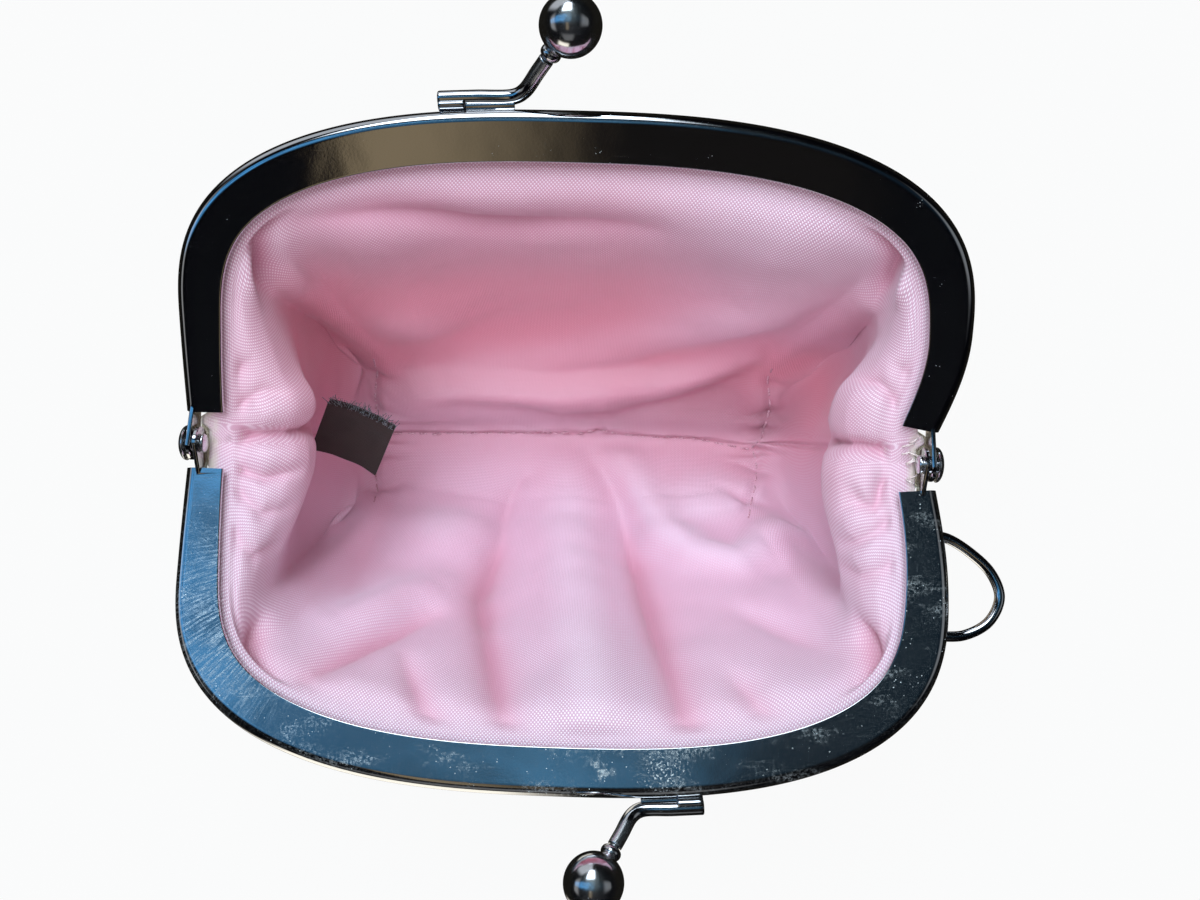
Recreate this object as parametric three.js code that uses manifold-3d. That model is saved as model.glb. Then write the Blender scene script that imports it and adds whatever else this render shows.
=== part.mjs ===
// Kiss lock coin purse, standing open on its base: an arched nickel frame in two hinged halves,
// a clasp of two balls, a wire strap loop, a pink lining, a plain outer shell and a folded label.
// Millimetres, +Z up. X runs along the hinge, +Y towards the back half, and the origin lies on the
// floor under the middle of the hinge.
import * as THREE from 'three';
import { mergeVertices } from 'three/addons/utils/BufferGeometryUtils.js';
import Module from 'manifold-3d';

const wasm = await Module();
wasm.setup();

// Frame, with each half in its own plane: u along the hinge, v away from it, w up from the hinge axis
const HINGE_HEIGHT = 54;
const HALF_RAISE = THREE.MathUtils.degToRad(12);
const FACE_LEVEL = -0.5;
const ARCH_CENTRE = 17.5;
const ARCH_POWER = 2.65;
const LIP_WIDTH = { hinge: 5.3, arch: 6.5, from: 30 };
const CHANNEL_DEPTH = 4.6;
const SHEET = 0.7;
const RIM_RADIUS = 1.5;
const MID_LEVEL = FACE_LEVEL - CHANNEL_DEPTH / 2;
const RIGHT_END = 50.4;
const LEFT_END = 52.3;

// One row for each half. The front half is turned about Z, so its +u side is the purse's left.
const HALVES = {
  back: {
    turn: 0,
    cut: 4.2,
    height: 45.0,
    plus: { end: RIGHT_END, widest: 53.6 },
    minus: { end: LEFT_END, widest: 52.5 },
  },
  front: {
    turn: Math.PI,
    cut: 3.3,
    height: 45.4,
    plus: { end: LEFT_END, widest: 52.5 },
    minus: { end: RIGHT_END, widest: 52.0 },
  },
};

// Hinge ears and rivets: depths are measured inwards from the rim's outside
const GAP = 0.3;
const EAR_SHEET = 0.6;
const EAR_RADIUS = 2.3;
const EAR_RUN = 2.4;
const EAR_SHOULDER = 1.2;
const EAR_TUCK = 0.3;
const EAR_DEPTH = { back: 0.8, front: 0.8 + EAR_SHEET + GAP };
const RIVET_RADIUS = 0.8;
const RIVET_HEAD = { radius: 2.4, height: 1.0 };
const RIVET_TAIL = { radius: 1.3, height: 0.4 };

// Clasp: places of its bends in the half's plane; a rod lies on the rim and rises to its ball
const ROD_RADIUS = 1.0;
const ROD_STANDOFF = 0.6;
const BALL_RADIUS = 3.9;
const BALL_LEVEL = 2.8;
const COLLAR = { radius: 1.35, length: 1.3 };
const TENON = { radius: 0.6, length: 3.4 };
const FOOT = { length: 3.6, height: 1.5, width: 3.2 };
const SOLDER = { height: 1.5, width: 1.2 };
const BEND_RUN = { along: 0.8, up: 1.0 };
const CLASPS = {
  back: { start: -18.0, bend: -8.3, ball: -0.2, reach: 54.9 },
  front: { start: -19.8, bend: -11.6, ball: -5.6, reach: 55.2 },
};

// Strap loop on the right of the front half: how far out from the hinge centre, how far along the half
const LOOP_WIRE = 0.7;
const LOOP_HOLE = 1.05;
const LOOP_ROUTE = [
  { out: 50.1, along: 9.4 },
  { out: 52.0, along: 9.6 },
  { out: 55.1, along: 11.4 },
  { out: 58.0, along: 14.2 },
  { out: 59.1, along: 17.4 },
  { out: 57.6, along: 20.7 },
  { out: 54.3, along: 22.6 },
  { out: 50.6, along: 22.9 },
];

// Cloth: lining and shell lie on either side of one middle surface, tucked into the channel
const CLOTH_GAP = 0.3;
const LINING_WALL = 1.0;
const SHELL_WALL = 1.2;
const TUCK_REACH = 2.6;
const LIP_CLEARANCE = 0.6;
const TUCK_LEVEL = FACE_LEVEL - 2.25;
const BASE = { centre: -1.5, halfLength: 33, halfDepth: 12, power: 4, corner: 0.447 };
const BASE_LEVEL = CLOTH_GAP / 2 + SHELL_WALL;
const HANG = { front: 0.62, back: 0.55, round: 1.5, from: 0.45 };
const SIDE_TURN = THREE.MathUtils.degToRad(22);
const CORNER_TURN = THREE.MathUtils.degToRad(37);
const PANEL_TURN = THREE.MathUtils.degToRad(56);
const BULGE_TURN = { back: 24, frontLeft: 24, frontRight: 46, wide: 58 };
const BULGE_WIDE_SHARE = 0.35;
const RIGHT_BULGE = 0.81;
const CLOTH_TURNS = 54;
const CLOTH_LEVELS = [-1, 0, 0.07, 0.15, 0.25, 0.36, 0.47, 0.59, 0.71, 0.83, 0.95, 1.12, 2];

// Wall of the bag from the lip down to the base: share of the way in, share of the way down,
// at the hinge sides, at the corners and in the middle of the two panels; the last column is how far
// the slack cloth beside the hinges bulges in
const WALL_ROWS = {
  lip: { side: [0, 0], corner: [0, 0], back: [0, 0], front: [0, 0], bulge: 0 },
  roll: { side: [0, 0.01], corner: [0.04, 0.04], back: [0.16, 0.02], front: [0.11, 0.03], bulge: 3.5 },
  shoulder: { side: [0.02, 0.05], corner: [0.10, 0.12], back: [0.29, 0.09], front: [0.22, 0.11], bulge: 6.8 },
  chest: { side: [0.04, 0.13], corner: [0.17, 0.21], back: [0.37, 0.19], front: [0.31, 0.20], bulge: 8.1 },
  hollow: { side: [0.06, 0.25], corner: [0.27, 0.33], back: [0.45, 0.32], front: [0.41, 0.33], bulge: 6.1 },
  waist: { side: [0.08, 0.38], corner: [0.39, 0.47], back: [0.53, 0.46], front: [0.51, 0.47], bulge: 2.4 },
  belly: { side: [0.12, 0.56], corner: [0.53, 0.62], back: [0.61, 0.61], front: [0.61, 0.62], bulge: 0 },
  flank: { side: [0.25, 0.75], corner: [0.68, 0.78], back: [0.72, 0.78], front: [0.73, 0.78], bulge: 0 },
  heel: { side: [0.58, 0.92], corner: [0.85, 0.93], back: [0.86, 0.93], front: [0.87, 0.93], bulge: 0 },
  base: { side: [1, 1], corner: [1, 1], back: [1, 1], front: [1, 1], bulge: 0 },
};

// Folds of the lining, raised inwards: place round the mouth (0 right hinge, a quarter at the back),
// how far they lean on the way down, half-width, height, and the levels where they start and end
const FOLDS = [
  { name: 'front middle ridge', turn: 0.735, lean: -0.02, width: 11, height: 2.6, from: 0.10, to: 1.0 },
  { name: 'front right ridge', turn: 0.835, lean: -0.09, width: 9, height: 2.8, from: 0.15, to: 0.95 },
  { name: 'front left ridge', turn: 0.655, lean: 0.03, width: 9, height: 2.2, from: 0.05, to: 0.95 },
  { name: 'left corner crease', turn: 0.565, lean: 0.02, width: 5, height: 1.8, from: 0.25, to: 0.95 },
  { name: 'back diagonal ridge', turn: 0.20, lean: 0.10, width: 12, height: 2.4, from: 0.15, to: 0.95 },
  { name: 'back left ridge', turn: 0.36, lean: -0.02, width: 8, height: 1.6, from: 0.10, to: 0.90 },
  { name: 'right hinge tuck', turn: 0.985, lean: -0.01, width: 3, height: 0.7, from: 0.02, to: 0.45 },
  { name: 'left hinge tuck', turn: 0.512, lean: 0.01, width: 3, height: 0.7, from: 0.02, to: 0.45 },
];
const FOLD_FADE = 0.2;
const MOUTH_LENGTH = 300;

// Label: folded double, sewn into the left side seam and standing out towards the middle
const LABEL = { length: 11, height: 9, ply: 0.5, slit: 0.4, open: 2.5 };
const LABEL_PLACE = { x: -35.2, y: 0.2, z: 27, heading: -22, tip: 24, slope: 8 };

const MATERIALS = {
  nickel: new THREE.MeshStandardMaterial({ color: 0xc8ccd2, roughness: 0.1, metalness: 1 }),
  lining: new THREE.MeshStandardMaterial({ color: 0xe2a2bb, roughness: 0.6, metalness: 0 }),
  shell: new THREE.MeshStandardMaterial({ color: 0xd9c6ab, roughness: 0.85, metalness: 0 }),
  label: new THREE.MeshStandardMaterial({ color: 0x2b1b19, roughness: 0.9, metalness: 0 }),
};

// A smooth curve through one column of the wall's rows
function wallProfile(column) {
  const rows = Object.values(WALL_ROWS);
  return new THREE.CatmullRomCurve3(rows.map((row) => new THREE.Vector3(...[row[column], 0, 0].flat())));
}

const PROFILES = {
  side: wallProfile('side'),
  corner: wallProfile('corner'),
  back: wallProfile('back'),
  front: wallProfile('front'),
  bulge: wallProfile('bulge'),
};

// A solid for joining and cutting, from any closed geometry
function solid(geometry) {
  const bare = geometry.clone();
  bare.deleteAttribute('normal');
  bare.deleteAttribute('uv');
  const merged = mergeVertices(bare, 1e-4);
  const vertProperties = new Float32Array(merged.attributes.position.array);
  const triVerts = new Uint32Array(merged.index.array);
  return new wasm.Manifold(new wasm.Mesh({ numProp: 3, vertProperties, triVerts }));
}

function geometryOf(manifold) {
  const { vertProperties, triVerts } = manifold.getMesh();
  return indexed(Array.from(vertProperties), Array.from(triVerts));
}

function indexed(coordinates, triangles) {
  const geometry = new THREE.BufferGeometry();
  geometry.setAttribute('position', new THREE.Float32BufferAttribute(coordinates, 3));
  geometry.setIndex(triangles);
  geometry.computeVertexNormals();
  return geometry;
}

// A closed solid through rings of points; each end is a flat cap, or a pole where its ring is one point
function loft(rings, capTriangles = []) {
  const points = rings.flat();
  const triangles = [];
  let base = 0;
  for (let i = 0; i + 1 < rings.length; i++) {
    const [here, next] = [rings[i].length, rings[i + 1].length];
    const steps = Math.max(here, next);
    for (let j = 0; j < steps; j++) {
      const k = (j + 1) % steps;
      const [a, b] = here > 1 ? [base + j, base + k] : [base, base];
      const [c, d] = next > 1 ? [base + here + j, base + here + k] : [base + here, base + here];
      const straight = points[a].distanceTo(points[d]) < points[b].distanceTo(points[c]);
      if (here > 1) triangles.push([a, b, straight ? d : c]);
      if (next > 1) triangles.push([straight ? a : b, d, c]);
    }
    base += here;
  }
  for (const [a, b, c] of capTriangles) {
    triangles.push([a, c, b], [base + a, base + b, base + c]);
  }
  const volume = triangles.reduce((sum, [a, b, c]) => {
    return sum + points[a].dot(new THREE.Vector3().crossVectors(points[b], points[c]));
  }, 0);
  const turned = volume < 0 ? triangles.map(([a, b, c]) => [a, c, b]) : triangles;
  return indexed(points.flatMap((p) => p.toArray()), turned.flat());
}

// Outline of a half's rim from the +u hinge line, over the arch, to the -u hinge line, by share of its length
function rimOutline(half) {
  const samples = [];
  const side = ({ end, widest }, share) => {
    const v = ARCH_CENTRE * share;
    const climb = Math.max(0, (v - half.cut) / (ARCH_CENTRE - half.cut));
    return [end + (widest - end) * Math.sin(climb * Math.PI / 2), v];
  };
  const arch = (angle) => {
    const width = Math.cos(angle) > 0 ? half.plus.widest : half.minus.widest;
    const across = Math.abs(Math.cos(angle) / width) ** ARCH_POWER;
    const up = Math.abs(Math.sin(angle) / (half.height - ARCH_CENTRE)) ** ARCH_POWER;
    const radius = (across + up) ** (-1 / ARCH_POWER);
    return [radius * Math.cos(angle), ARCH_CENTRE + radius * Math.sin(angle)];
  };
  const sideSamples = 40;
  const archSamples = 240;
  for (let i = 0; i < sideSamples; i++) samples.push(side(half.plus, i / sideSamples));
  for (let i = 0; i <= archSamples; i++) samples.push(arch(Math.PI * i / archSamples));
  for (let i = sideSamples - 1; i >= 0; i--) {
    const [u, v] = side(half.minus, i / sideSamples);
    samples.push([-u, v]);
  }
  return new THREE.CatmullRomCurve3(samples.map(([u, v]) => new THREE.Vector3(u, v, 0)), false, 'chordal');
}

for (const half of Object.values(HALVES)) {
  half.outline = rimOutline(half);
  half.outline.arcLengthDivisions = 600;
  half.length = half.outline.getLength();
}

// A point of a half, set in from the rim's outside by depth at a share of the way round
function rimPoint(half, share, depth, level) {
  const point = half.outline.getPointAt(share);
  const tangent = half.outline.getTangentAt(share);
  return new THREE.Vector3(point.x - tangent.y * depth, point.y + tangent.x * depth, level);
}

function smooth(x) {
  const share = THREE.MathUtils.clamp(x, 0, 1);
  return share * share * (3 - 2 * share);
}

// How wide the lips are at a place on the rim: narrower towards the hinge
function lipWidth(half, share) {
  const climb = smooth(half.outline.getPointAt(share).y / LIP_WIDTH.from);
  return LIP_WIDTH.hinge + (LIP_WIDTH.arch - LIP_WIDTH.hinge) * climb;
}

// The C channel's section: depth in from the rim's outside, level above the hinge axis
function channelSection(lip) {
  const top = FACE_LEVEL;
  const bottom = FACE_LEVEL - CHANNEL_DEPTH;
  const arc = (centreLevel, radius, from, to, steps) => {
    const points = [];
    for (let i = 0; i <= steps; i++) {
      const angle = THREE.MathUtils.degToRad(from + (to - from) * i / steps);
      points.push([RIM_RADIUS + radius * Math.cos(angle), centreLevel + radius * Math.sin(angle)]);
    }
    return points;
  };
  return [
    ...arc(top - RIM_RADIUS, RIM_RADIUS, 180, 90, 3),
    [lip, top],
    [lip, top - SHEET],
    ...arc(top - RIM_RADIUS, RIM_RADIUS - SHEET, 90, 180, 2),
    ...arc(bottom + RIM_RADIUS, RIM_RADIUS - SHEET, 180, 270, 2),
    [lip, bottom + SHEET],
    [lip, bottom],
    ...arc(bottom + RIM_RADIUS, RIM_RADIUS, 270, 180, 3),
  ].reverse();
}

function channel(half) {
  const stations = 38;
  const rings = [];
  for (let i = 0; i <= stations; i++) {
    const margin = half.cut / half.length;
    const share = margin + (1 - 2 * margin) * i / stations;
    const section = channelSection(lipWidth(half, share));
    rings.push(section.map(([depth, level]) => rimPoint(half, share, depth, level)));
  }
  const flat = channelSection(LIP_WIDTH.hinge).map(([depth, level]) => new THREE.Vector2(depth, level));
  return loft(rings, THREE.ShapeUtils.triangulateShape(flat, []));
}

// A hinge ear on one side of a half: a tapered plate with a round end, joined to the rim's wall
function ear(name, sign, end) {
  const half = HALVES[name];
  const root = half.cut + EAR_RUN;
  const rootTop = FACE_LEVEL - EAR_SHOULDER;
  const rootBottom = FACE_LEVEL - CHANNEL_DEPTH + EAR_SHOULDER;
  const outline = new THREE.Shape();
  outline.moveTo(root, rootBottom);
  outline.lineTo(root, rootTop);
  outline.absarc(0, 0, EAR_RADIUS, THREE.MathUtils.degToRad(80), THREE.MathUtils.degToRad(260), false);
  const sheet = { depth: EAR_SHEET, bevelEnabled: false, curveSegments: 10 };
  const plate = new THREE.ExtrudeGeometry(outline, sheet);
  plate.rotateY(Math.PI / 2).rotateX(Math.PI / 2);
  const outside = end - EAR_DEPTH[name];
  plate.translate(sign > 0 ? outside - EAR_SHEET : -outside, 0, 0);
  const stepWidth = EAR_DEPTH[name] + EAR_SHEET - SHEET / 2;
  const step = new THREE.BoxGeometry(stepWidth, EAR_RUN - 2 * EAR_TUCK, rootTop - rootBottom);
  const stepMiddle = end - SHEET / 2 - stepWidth / 2;
  step.translate(sign * stepMiddle, half.cut + EAR_RUN / 2, (rootTop + rootBottom) / 2);
  return solid(plate).add(solid(step));
}

function roundTube(points, radius, sides, steps) {
  const section = new THREE.Shape();
  section.absarc(0, 0, radius, 0, 2 * Math.PI);
  const extrudePath = new THREE.CatmullRomCurve3(points);
  return new THREE.ExtrudeGeometry(section, { steps, extrudePath, curveSegments: sides });
}

// Where a clasp's rod runs: along the rim, round a bend and up to the ball
function claspRoute(name) {
  const { start, bend, ball, reach } = CLASPS[name];
  const rimAt = (u) => {
    const share = 0.5 - u / HALVES[name].length;
    return rimPoint(HALVES[name], share, -ROD_STANDOFF - ROD_RADIUS, MID_LEVEL);
  };
  const ballCentre = new THREE.Vector3(ball, reach, BALL_LEVEL);
  const corner = rimAt(bend + BEND_RUN.along);
  const rise = ballCentre.clone().sub(corner).normalize();
  const end = ballCentre.clone().addScaledVector(rise, -(BALL_RADIUS + COLLAR.length + GAP));
  return { rimStart: rimAt(start), rimBend: rimAt(bend), corner, rise, end, ballCentre };
}

function claspRod(name) {
  const { rimStart, rimBend, corner, rise, end } = claspRoute(name);
  const run = rimBend.clone().sub(rimStart);
  const route = [
    rimStart,
    rimStart.clone().addScaledVector(run, 0.5),
    rimBend,
    corner.clone().addScaledVector(rise, BEND_RUN.up),
    end.clone().lerp(corner, 1 / 3),
    end,
  ];
  const rod = solid(roundTube(route, ROD_RADIUS, 5, 13));
  const tip = end.clone().addScaledVector(rise, TENON.length);
  const root = end.clone().addScaledVector(rise, -TENON.radius);
  const tenon = solid(roundTube([root, tip], TENON.radius, 4, 1));
  const foot = new THREE.BoxGeometry(FOOT.length, FOOT.height, FOOT.width);
  const heading = Math.atan2(run.y, run.x);
  foot.translate(FOOT.length / 2, -ROD_RADIUS, 0).rotateZ(heading).translate(...rimStart.toArray());
  const bead = new THREE.BoxGeometry(run.length(), SOLDER.height, SOLDER.width);
  bead.translate(run.length() / 2, -ROD_RADIUS, 0).rotateZ(heading).translate(...rimStart.toArray());
  return rod.add(tenon).add(solid(foot)).add(solid(bead));
}

function drill(radius, length, sides) {
  return new THREE.CylinderGeometry(radius, radius, length, sides).rotateZ(Math.PI / 2);
}

// One half of the frame: channel, ears and clasp rod as one soldered solid, drilled for its rivets
function frameHalf(name) {
  const half = HALVES[name];
  let body = solid(channel(half)).add(ear(name, 1, half.plus.end)).add(ear(name, -1, half.minus.end));
  body = body.add(claspRod(name));
  for (const end of [half.plus.end, -half.minus.end]) {
    body = body.subtract(solid(drill(RIVET_RADIUS + GAP, 8, 12).translate(end, 0, 0)));
  }
  if (name === 'front') {
    for (const leg of [LOOP_ROUTE[1], LOOP_ROUTE[LOOP_ROUTE.length - 1]]) {
      const hole = drill(LOOP_HOLE, 4, 12).translate(-leg.out, leg.along, MID_LEVEL);
      body = body.subtract(solid(hole));
    }
  }
  return geometryOf(body);
}

// A ball with its collar, bored for the rod's tenon, about its own centre with the collar down
function claspBall() {
  const bore = TENON.radius + GAP;
  const floor = -BALL_RADIUS - COLLAR.length;
  const neckAngle = Math.asin(COLLAR.radius / BALL_RADIUS);
  const outline = [
    new THREE.Vector2(0, floor + TENON.length + GAP),
    new THREE.Vector2(bore, floor + TENON.length + GAP),
    new THREE.Vector2(bore, floor),
    new THREE.Vector2(COLLAR.radius, floor),
  ];
  const steps = 10;
  for (let i = 0; i <= steps; i++) {
    const angle = neckAngle + (Math.PI - neckAngle) * i / steps;
    outline.push(new THREE.Vector2(BALL_RADIUS * Math.sin(angle), -BALL_RADIUS * Math.cos(angle)));
  }
  outline[outline.length - 1].x = 0;
  return new THREE.LatheGeometry(outline, 18);
}

// A rivet about the X axis, domed head towards +X, its depth measured in from the rim's outside
function hingeRivet() {
  const inner = EAR_DEPTH.front + EAR_SHEET + GAP;
  const outer = GAP - EAR_DEPTH.back;
  const outline = [
    new THREE.Vector2(0, -inner - RIVET_TAIL.height),
    new THREE.Vector2(RIVET_TAIL.radius / 2, -inner - RIVET_TAIL.height),
    new THREE.Vector2(RIVET_TAIL.radius, -inner - RIVET_TAIL.height / 2),
    new THREE.Vector2(RIVET_TAIL.radius, -inner),
    new THREE.Vector2(RIVET_RADIUS, -inner),
    new THREE.Vector2(RIVET_RADIUS, outer),
  ];
  const steps = 5;
  for (let i = 0; i <= steps; i++) {
    const angle = Math.PI / 2 * i / steps;
    const height = outer + RIVET_HEAD.height * Math.sin(angle);
    outline.push(new THREE.Vector2(RIVET_HEAD.radius * Math.cos(angle), height));
  }
  outline[outline.length - 1].x = 0;
  return new THREE.LatheGeometry(outline, 14).rotateZ(-Math.PI / 2);
}

function strapLoop() {
  const route = LOOP_ROUTE.map(({ out, along }) => new THREE.Vector3(-out, along, MID_LEVEL));
  return roundTube(route, LOOP_WIRE, 4, 26);
}

// A point of the cloth in the channel's slot, or across the hinge gap, in the purse's own frame
function slotPoint(half, share, depth) {
  const { x: u, y: v, z: w } = rimPoint(half, share, depth, TUCK_LEVEL);
  const raise = HALF_RAISE * smooth(v / half.cut);
  const y = v * Math.cos(HALF_RAISE) - w * Math.sin(raise);
  const z = HINGE_HEIGHT + v * Math.sin(HALF_RAISE) + w * Math.cos(raise);
  const flip = half.turn === 0 ? 1 : -1;
  return new THREE.Vector3(flip * u, flip * y, z);
}

// A point of the base's rounded edge, by angle round the purse
function basePoint(angle) {
  const heading = Math.atan2(BASE.corner * Math.sin(angle), Math.cos(angle));
  const along = Math.abs(Math.cos(heading) / BASE.halfLength) ** BASE.power;
  const across = Math.abs(Math.sin(heading) / BASE.halfDepth) ** BASE.power;
  const radius = (along + across) ** (-1 / BASE.power);
  return new THREE.Vector3(BASE.centre + radius * Math.cos(heading), radius * Math.sin(heading), BASE_LEVEL);
}

// Shares of the way in and down at a level of the wall, blended from side to corner to panel
function wallShares(angle, level, panel) {
  const fromHinge = Math.min(angle, Math.PI - angle);
  const toCorner = smooth((fromHinge - SIDE_TURN) / (CORNER_TURN - SIDE_TURN));
  const toPanel = smooth((fromHinge - CORNER_TURN) / (PANEL_TURN - CORNER_TURN));
  const side = PROFILES.side.getPoint(level);
  const corner = PROFILES.corner.getPoint(level);
  const middle = PROFILES[panel].getPoint(level);
  return side.lerp(corner, toCorner).lerp(middle, toPanel);
}

// The lining hangs to its base seam in a V above the flat bottom of the shell
function hungHeight(y) {
  const slope = y < 0 ? HANG.front : HANG.back;
  return slope * (Math.hypot(y, HANG.round) - HANG.round);
}

// The cloth's middle surface. Turn 0 is the right hinge and a quarter the back's middle;
// level -1 is the tucked edge, 0 the lip, 1 the base's edge and 2 the base's middle; hang is 1 for the lining
function clothPoint(turn, level, hang) {
  const round = ((turn % 1) + 1) % 1;
  const panel = round < 0.5 ? 'back' : 'front';
  const half = HALVES[panel];
  const share = Math.min(Math.max((round * 2) % 1, 1e-5), 1 - 1e-5);
  const width = lipWidth(half, share);
  const lipDepth = width + LIP_CLEARANCE;
  if (level <= 0) return slotPoint(half, share, lipDepth + (LIP_CLEARANCE + TUCK_REACH) * level);
  const foot = basePoint(2 * Math.PI * round);
  if (level >= 1) {
    foot.lerp(new THREE.Vector3(BASE.centre, 0, BASE_LEVEL), level - 1);
    return foot.setZ(foot.z + hang * hungHeight(foot.y));
  }
  const lip = slotPoint(half, share, lipDepth);
  const { x: inward, y: drop } = wallShares(Math.PI * share, level, panel);
  const point = lip.clone().lerp(foot, inward);
  const lift = hungHeight(foot.y) * smooth((level - HANG.from) / (1 - HANG.from));
  point.z = lip.z + (foot.z - lip.z) * drop + hang * lift;
  const intoMouth = slotPoint(half, share, lipDepth + 1).sub(lip).setZ(0).normalize();
  return point.addScaledVector(intoMouth, bulgeAt(round, level));
}

// How far the slack cloth bulges in, most beside the hinges and less towards the corners
function bulgeAt(round, level) {
  const share = (round * 2) % 1;
  const fromHinge = 180 * Math.min(share, 1 - share);
  const rightSide = Math.cos(2 * Math.PI * round) > 0;
  const frontTurn = rightSide ? BULGE_TURN.frontRight : BULGE_TURN.frontLeft;
  const near = 1 - smooth(fromHinge / (round < 0.5 ? BULGE_TURN.back : frontTurn));
  const wide = 1 - smooth(fromHinge / BULGE_TURN.wide);
  const fade = near + (wide - near) * BULGE_WIDE_SHARE;
  return PROFILES.bulge.getPoint(level).x * fade * (rightSide ? RIGHT_BULGE : 1);
}

// Direction into the purse, square to the middle surface
function clothInward(turn, level, hang) {
  const [turnStep, levelStep] = [0.004, 0.03];
  const across = clothPoint(turn + turnStep, level, hang).sub(clothPoint(turn - turnStep, level, hang));
  const down = clothPoint(turn, level + levelStep, hang).sub(clothPoint(turn, level - levelStep, hang));
  return down.cross(across).normalize().negate();
}

function foldHeight(turn, level) {
  return FOLDS.reduce((sum, fold) => {
    const middle = fold.turn + fold.lean * level;
    const away = (turn - middle - Math.round(turn - middle)) * MOUTH_LENGTH / fold.width;
    const reach = smooth((level - fold.from) / FOLD_FADE) * smooth((fold.to - level) / FOLD_FADE);
    return sum + fold.height * Math.exp(-away * away) * reach;
  }, 0);
}

// A cloth bag between two distances from the middle surface, closed round its tucked edge;
// hang is 1 for the lining, which hangs in folds of its own, and 0 for the shell
function clothBag(inner, outer, hang) {
  const ring = (level, distance) => {
    if (level === 2) return [clothPoint(0, 2, hang).setZ(BASE_LEVEL + distance)];
    const points = [];
    for (let i = 0; i < CLOTH_TURNS; i++) {
      const turn = i / CLOTH_TURNS;
      const offset = distance + (level < 1 ? hang * foldHeight(turn, level) : 0);
      const inward = level > 1 ? new THREE.Vector3(0, 0, 1) : clothInward(turn, level, hang);
      points.push(clothPoint(turn, level, hang).addScaledVector(inward, offset));
    }
    return points;
  };
  const inside = CLOTH_LEVELS.map((level) => ring(level, inner)).reverse();
  const outside = CLOTH_LEVELS.map((level) => ring(level, outer));
  return loft([...inside, ...outside]);
}

function lining() {
  return clothBag(CLOTH_GAP / 2 + LINING_WALL, CLOTH_GAP / 2, 1);
}

function outerShell() {
  return clothBag(-CLOTH_GAP / 2, -CLOTH_GAP / 2 - SHELL_WALL, 0);
}

// The label's section is a hairpin: two plies pressed together, parted at the cut edge
function label() {
  const { length, height, ply, slit, open } = LABEL;
  const thick = 2 * ply + slit;
  const section = new THREE.Shape();
  section.moveTo(height, 0);
  section.lineTo(height, ply);
  section.lineTo(height - open, thick / 2);
  section.lineTo(height, thick - ply);
  section.lineTo(height, thick);
  section.lineTo(thick / 2, thick);
  section.absarc(thick / 2, thick / 2, thick / 2, Math.PI / 2, 3 * Math.PI / 2, false);
  const strip = new THREE.ExtrudeGeometry(section, { depth: length, bevelEnabled: false, curveSegments: 6 });
  return strip.translate(-height / 2, -thick / 2, -length / 2).rotateX(Math.PI / 2).rotateZ(Math.PI / 2);
}

function addMesh(parent, name, geometry, material) {
  const mesh = new THREE.Mesh(geometry, material);
  mesh.name = name;
  parent.add(mesh);
  return mesh;
}

const purse = new THREE.Group();
for (const [name, half] of Object.entries(HALVES)) {
  const group = new THREE.Group();
  group.position.z = HINGE_HEIGHT;
  group.rotation.set(HALF_RAISE, 0, half.turn, 'ZYX');
  purse.add(group);
  addMesh(group, `frame_${name}`, frameHalf(name), MATERIALS.nickel);
  const { rise, ballCentre } = claspRoute(name);
  const ball = addMesh(group, `clasp_ball_${name}`, claspBall(), MATERIALS.nickel);
  ball.position.copy(ballCentre);
  ball.quaternion.setFromUnitVectors(new THREE.Vector3(0, 1, 0), rise);
  if (name === 'front') addMesh(group, 'strap_loop', strapLoop(), MATERIALS.nickel);
}

for (const [name, end, heading] of [['right', RIGHT_END, 0], ['left', -LEFT_END, Math.PI]]) {
  const rivet = addMesh(purse, `hinge_rivet_${name}`, hingeRivet(), MATERIALS.nickel);
  rivet.position.set(end, 0, HINGE_HEIGHT);
  rivet.rotation.z = heading;
}

addMesh(purse, 'lining', lining(), MATERIALS.lining);
addMesh(purse, 'outer_shell', outerShell(), MATERIALS.shell);

const tag = addMesh(purse, 'label', label(), MATERIALS.label);
tag.position.set(LABEL_PLACE.x, LABEL_PLACE.y, LABEL_PLACE.z);
tag.rotation.set(
  THREE.MathUtils.degToRad(LABEL_PLACE.tip),
  THREE.MathUtils.degToRad(LABEL_PLACE.slope),
  THREE.MathUtils.degToRad(LABEL_PLACE.heading),
  'ZYX',
);

export default purse;
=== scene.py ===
import math

import bmesh
import bpy
import numpy as np
from mathutils import Matrix, Vector


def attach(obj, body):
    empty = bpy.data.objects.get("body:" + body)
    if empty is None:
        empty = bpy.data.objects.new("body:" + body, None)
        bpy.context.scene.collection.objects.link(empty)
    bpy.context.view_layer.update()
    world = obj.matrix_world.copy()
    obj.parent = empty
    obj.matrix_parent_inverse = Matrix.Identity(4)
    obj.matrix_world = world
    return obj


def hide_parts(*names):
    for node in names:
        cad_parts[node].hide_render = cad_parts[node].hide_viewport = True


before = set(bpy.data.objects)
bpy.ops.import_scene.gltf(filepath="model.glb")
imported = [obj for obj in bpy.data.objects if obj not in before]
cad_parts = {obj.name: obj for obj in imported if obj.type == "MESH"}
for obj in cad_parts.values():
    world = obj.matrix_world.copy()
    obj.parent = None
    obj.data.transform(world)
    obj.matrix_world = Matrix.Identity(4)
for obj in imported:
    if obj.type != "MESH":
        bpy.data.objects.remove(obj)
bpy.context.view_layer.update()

# Looks of the kiss lock coin purse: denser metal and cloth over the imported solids, from the same sizes.
# All sizes are in millimetres until a mesh is made.
MM = 0.001

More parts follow.
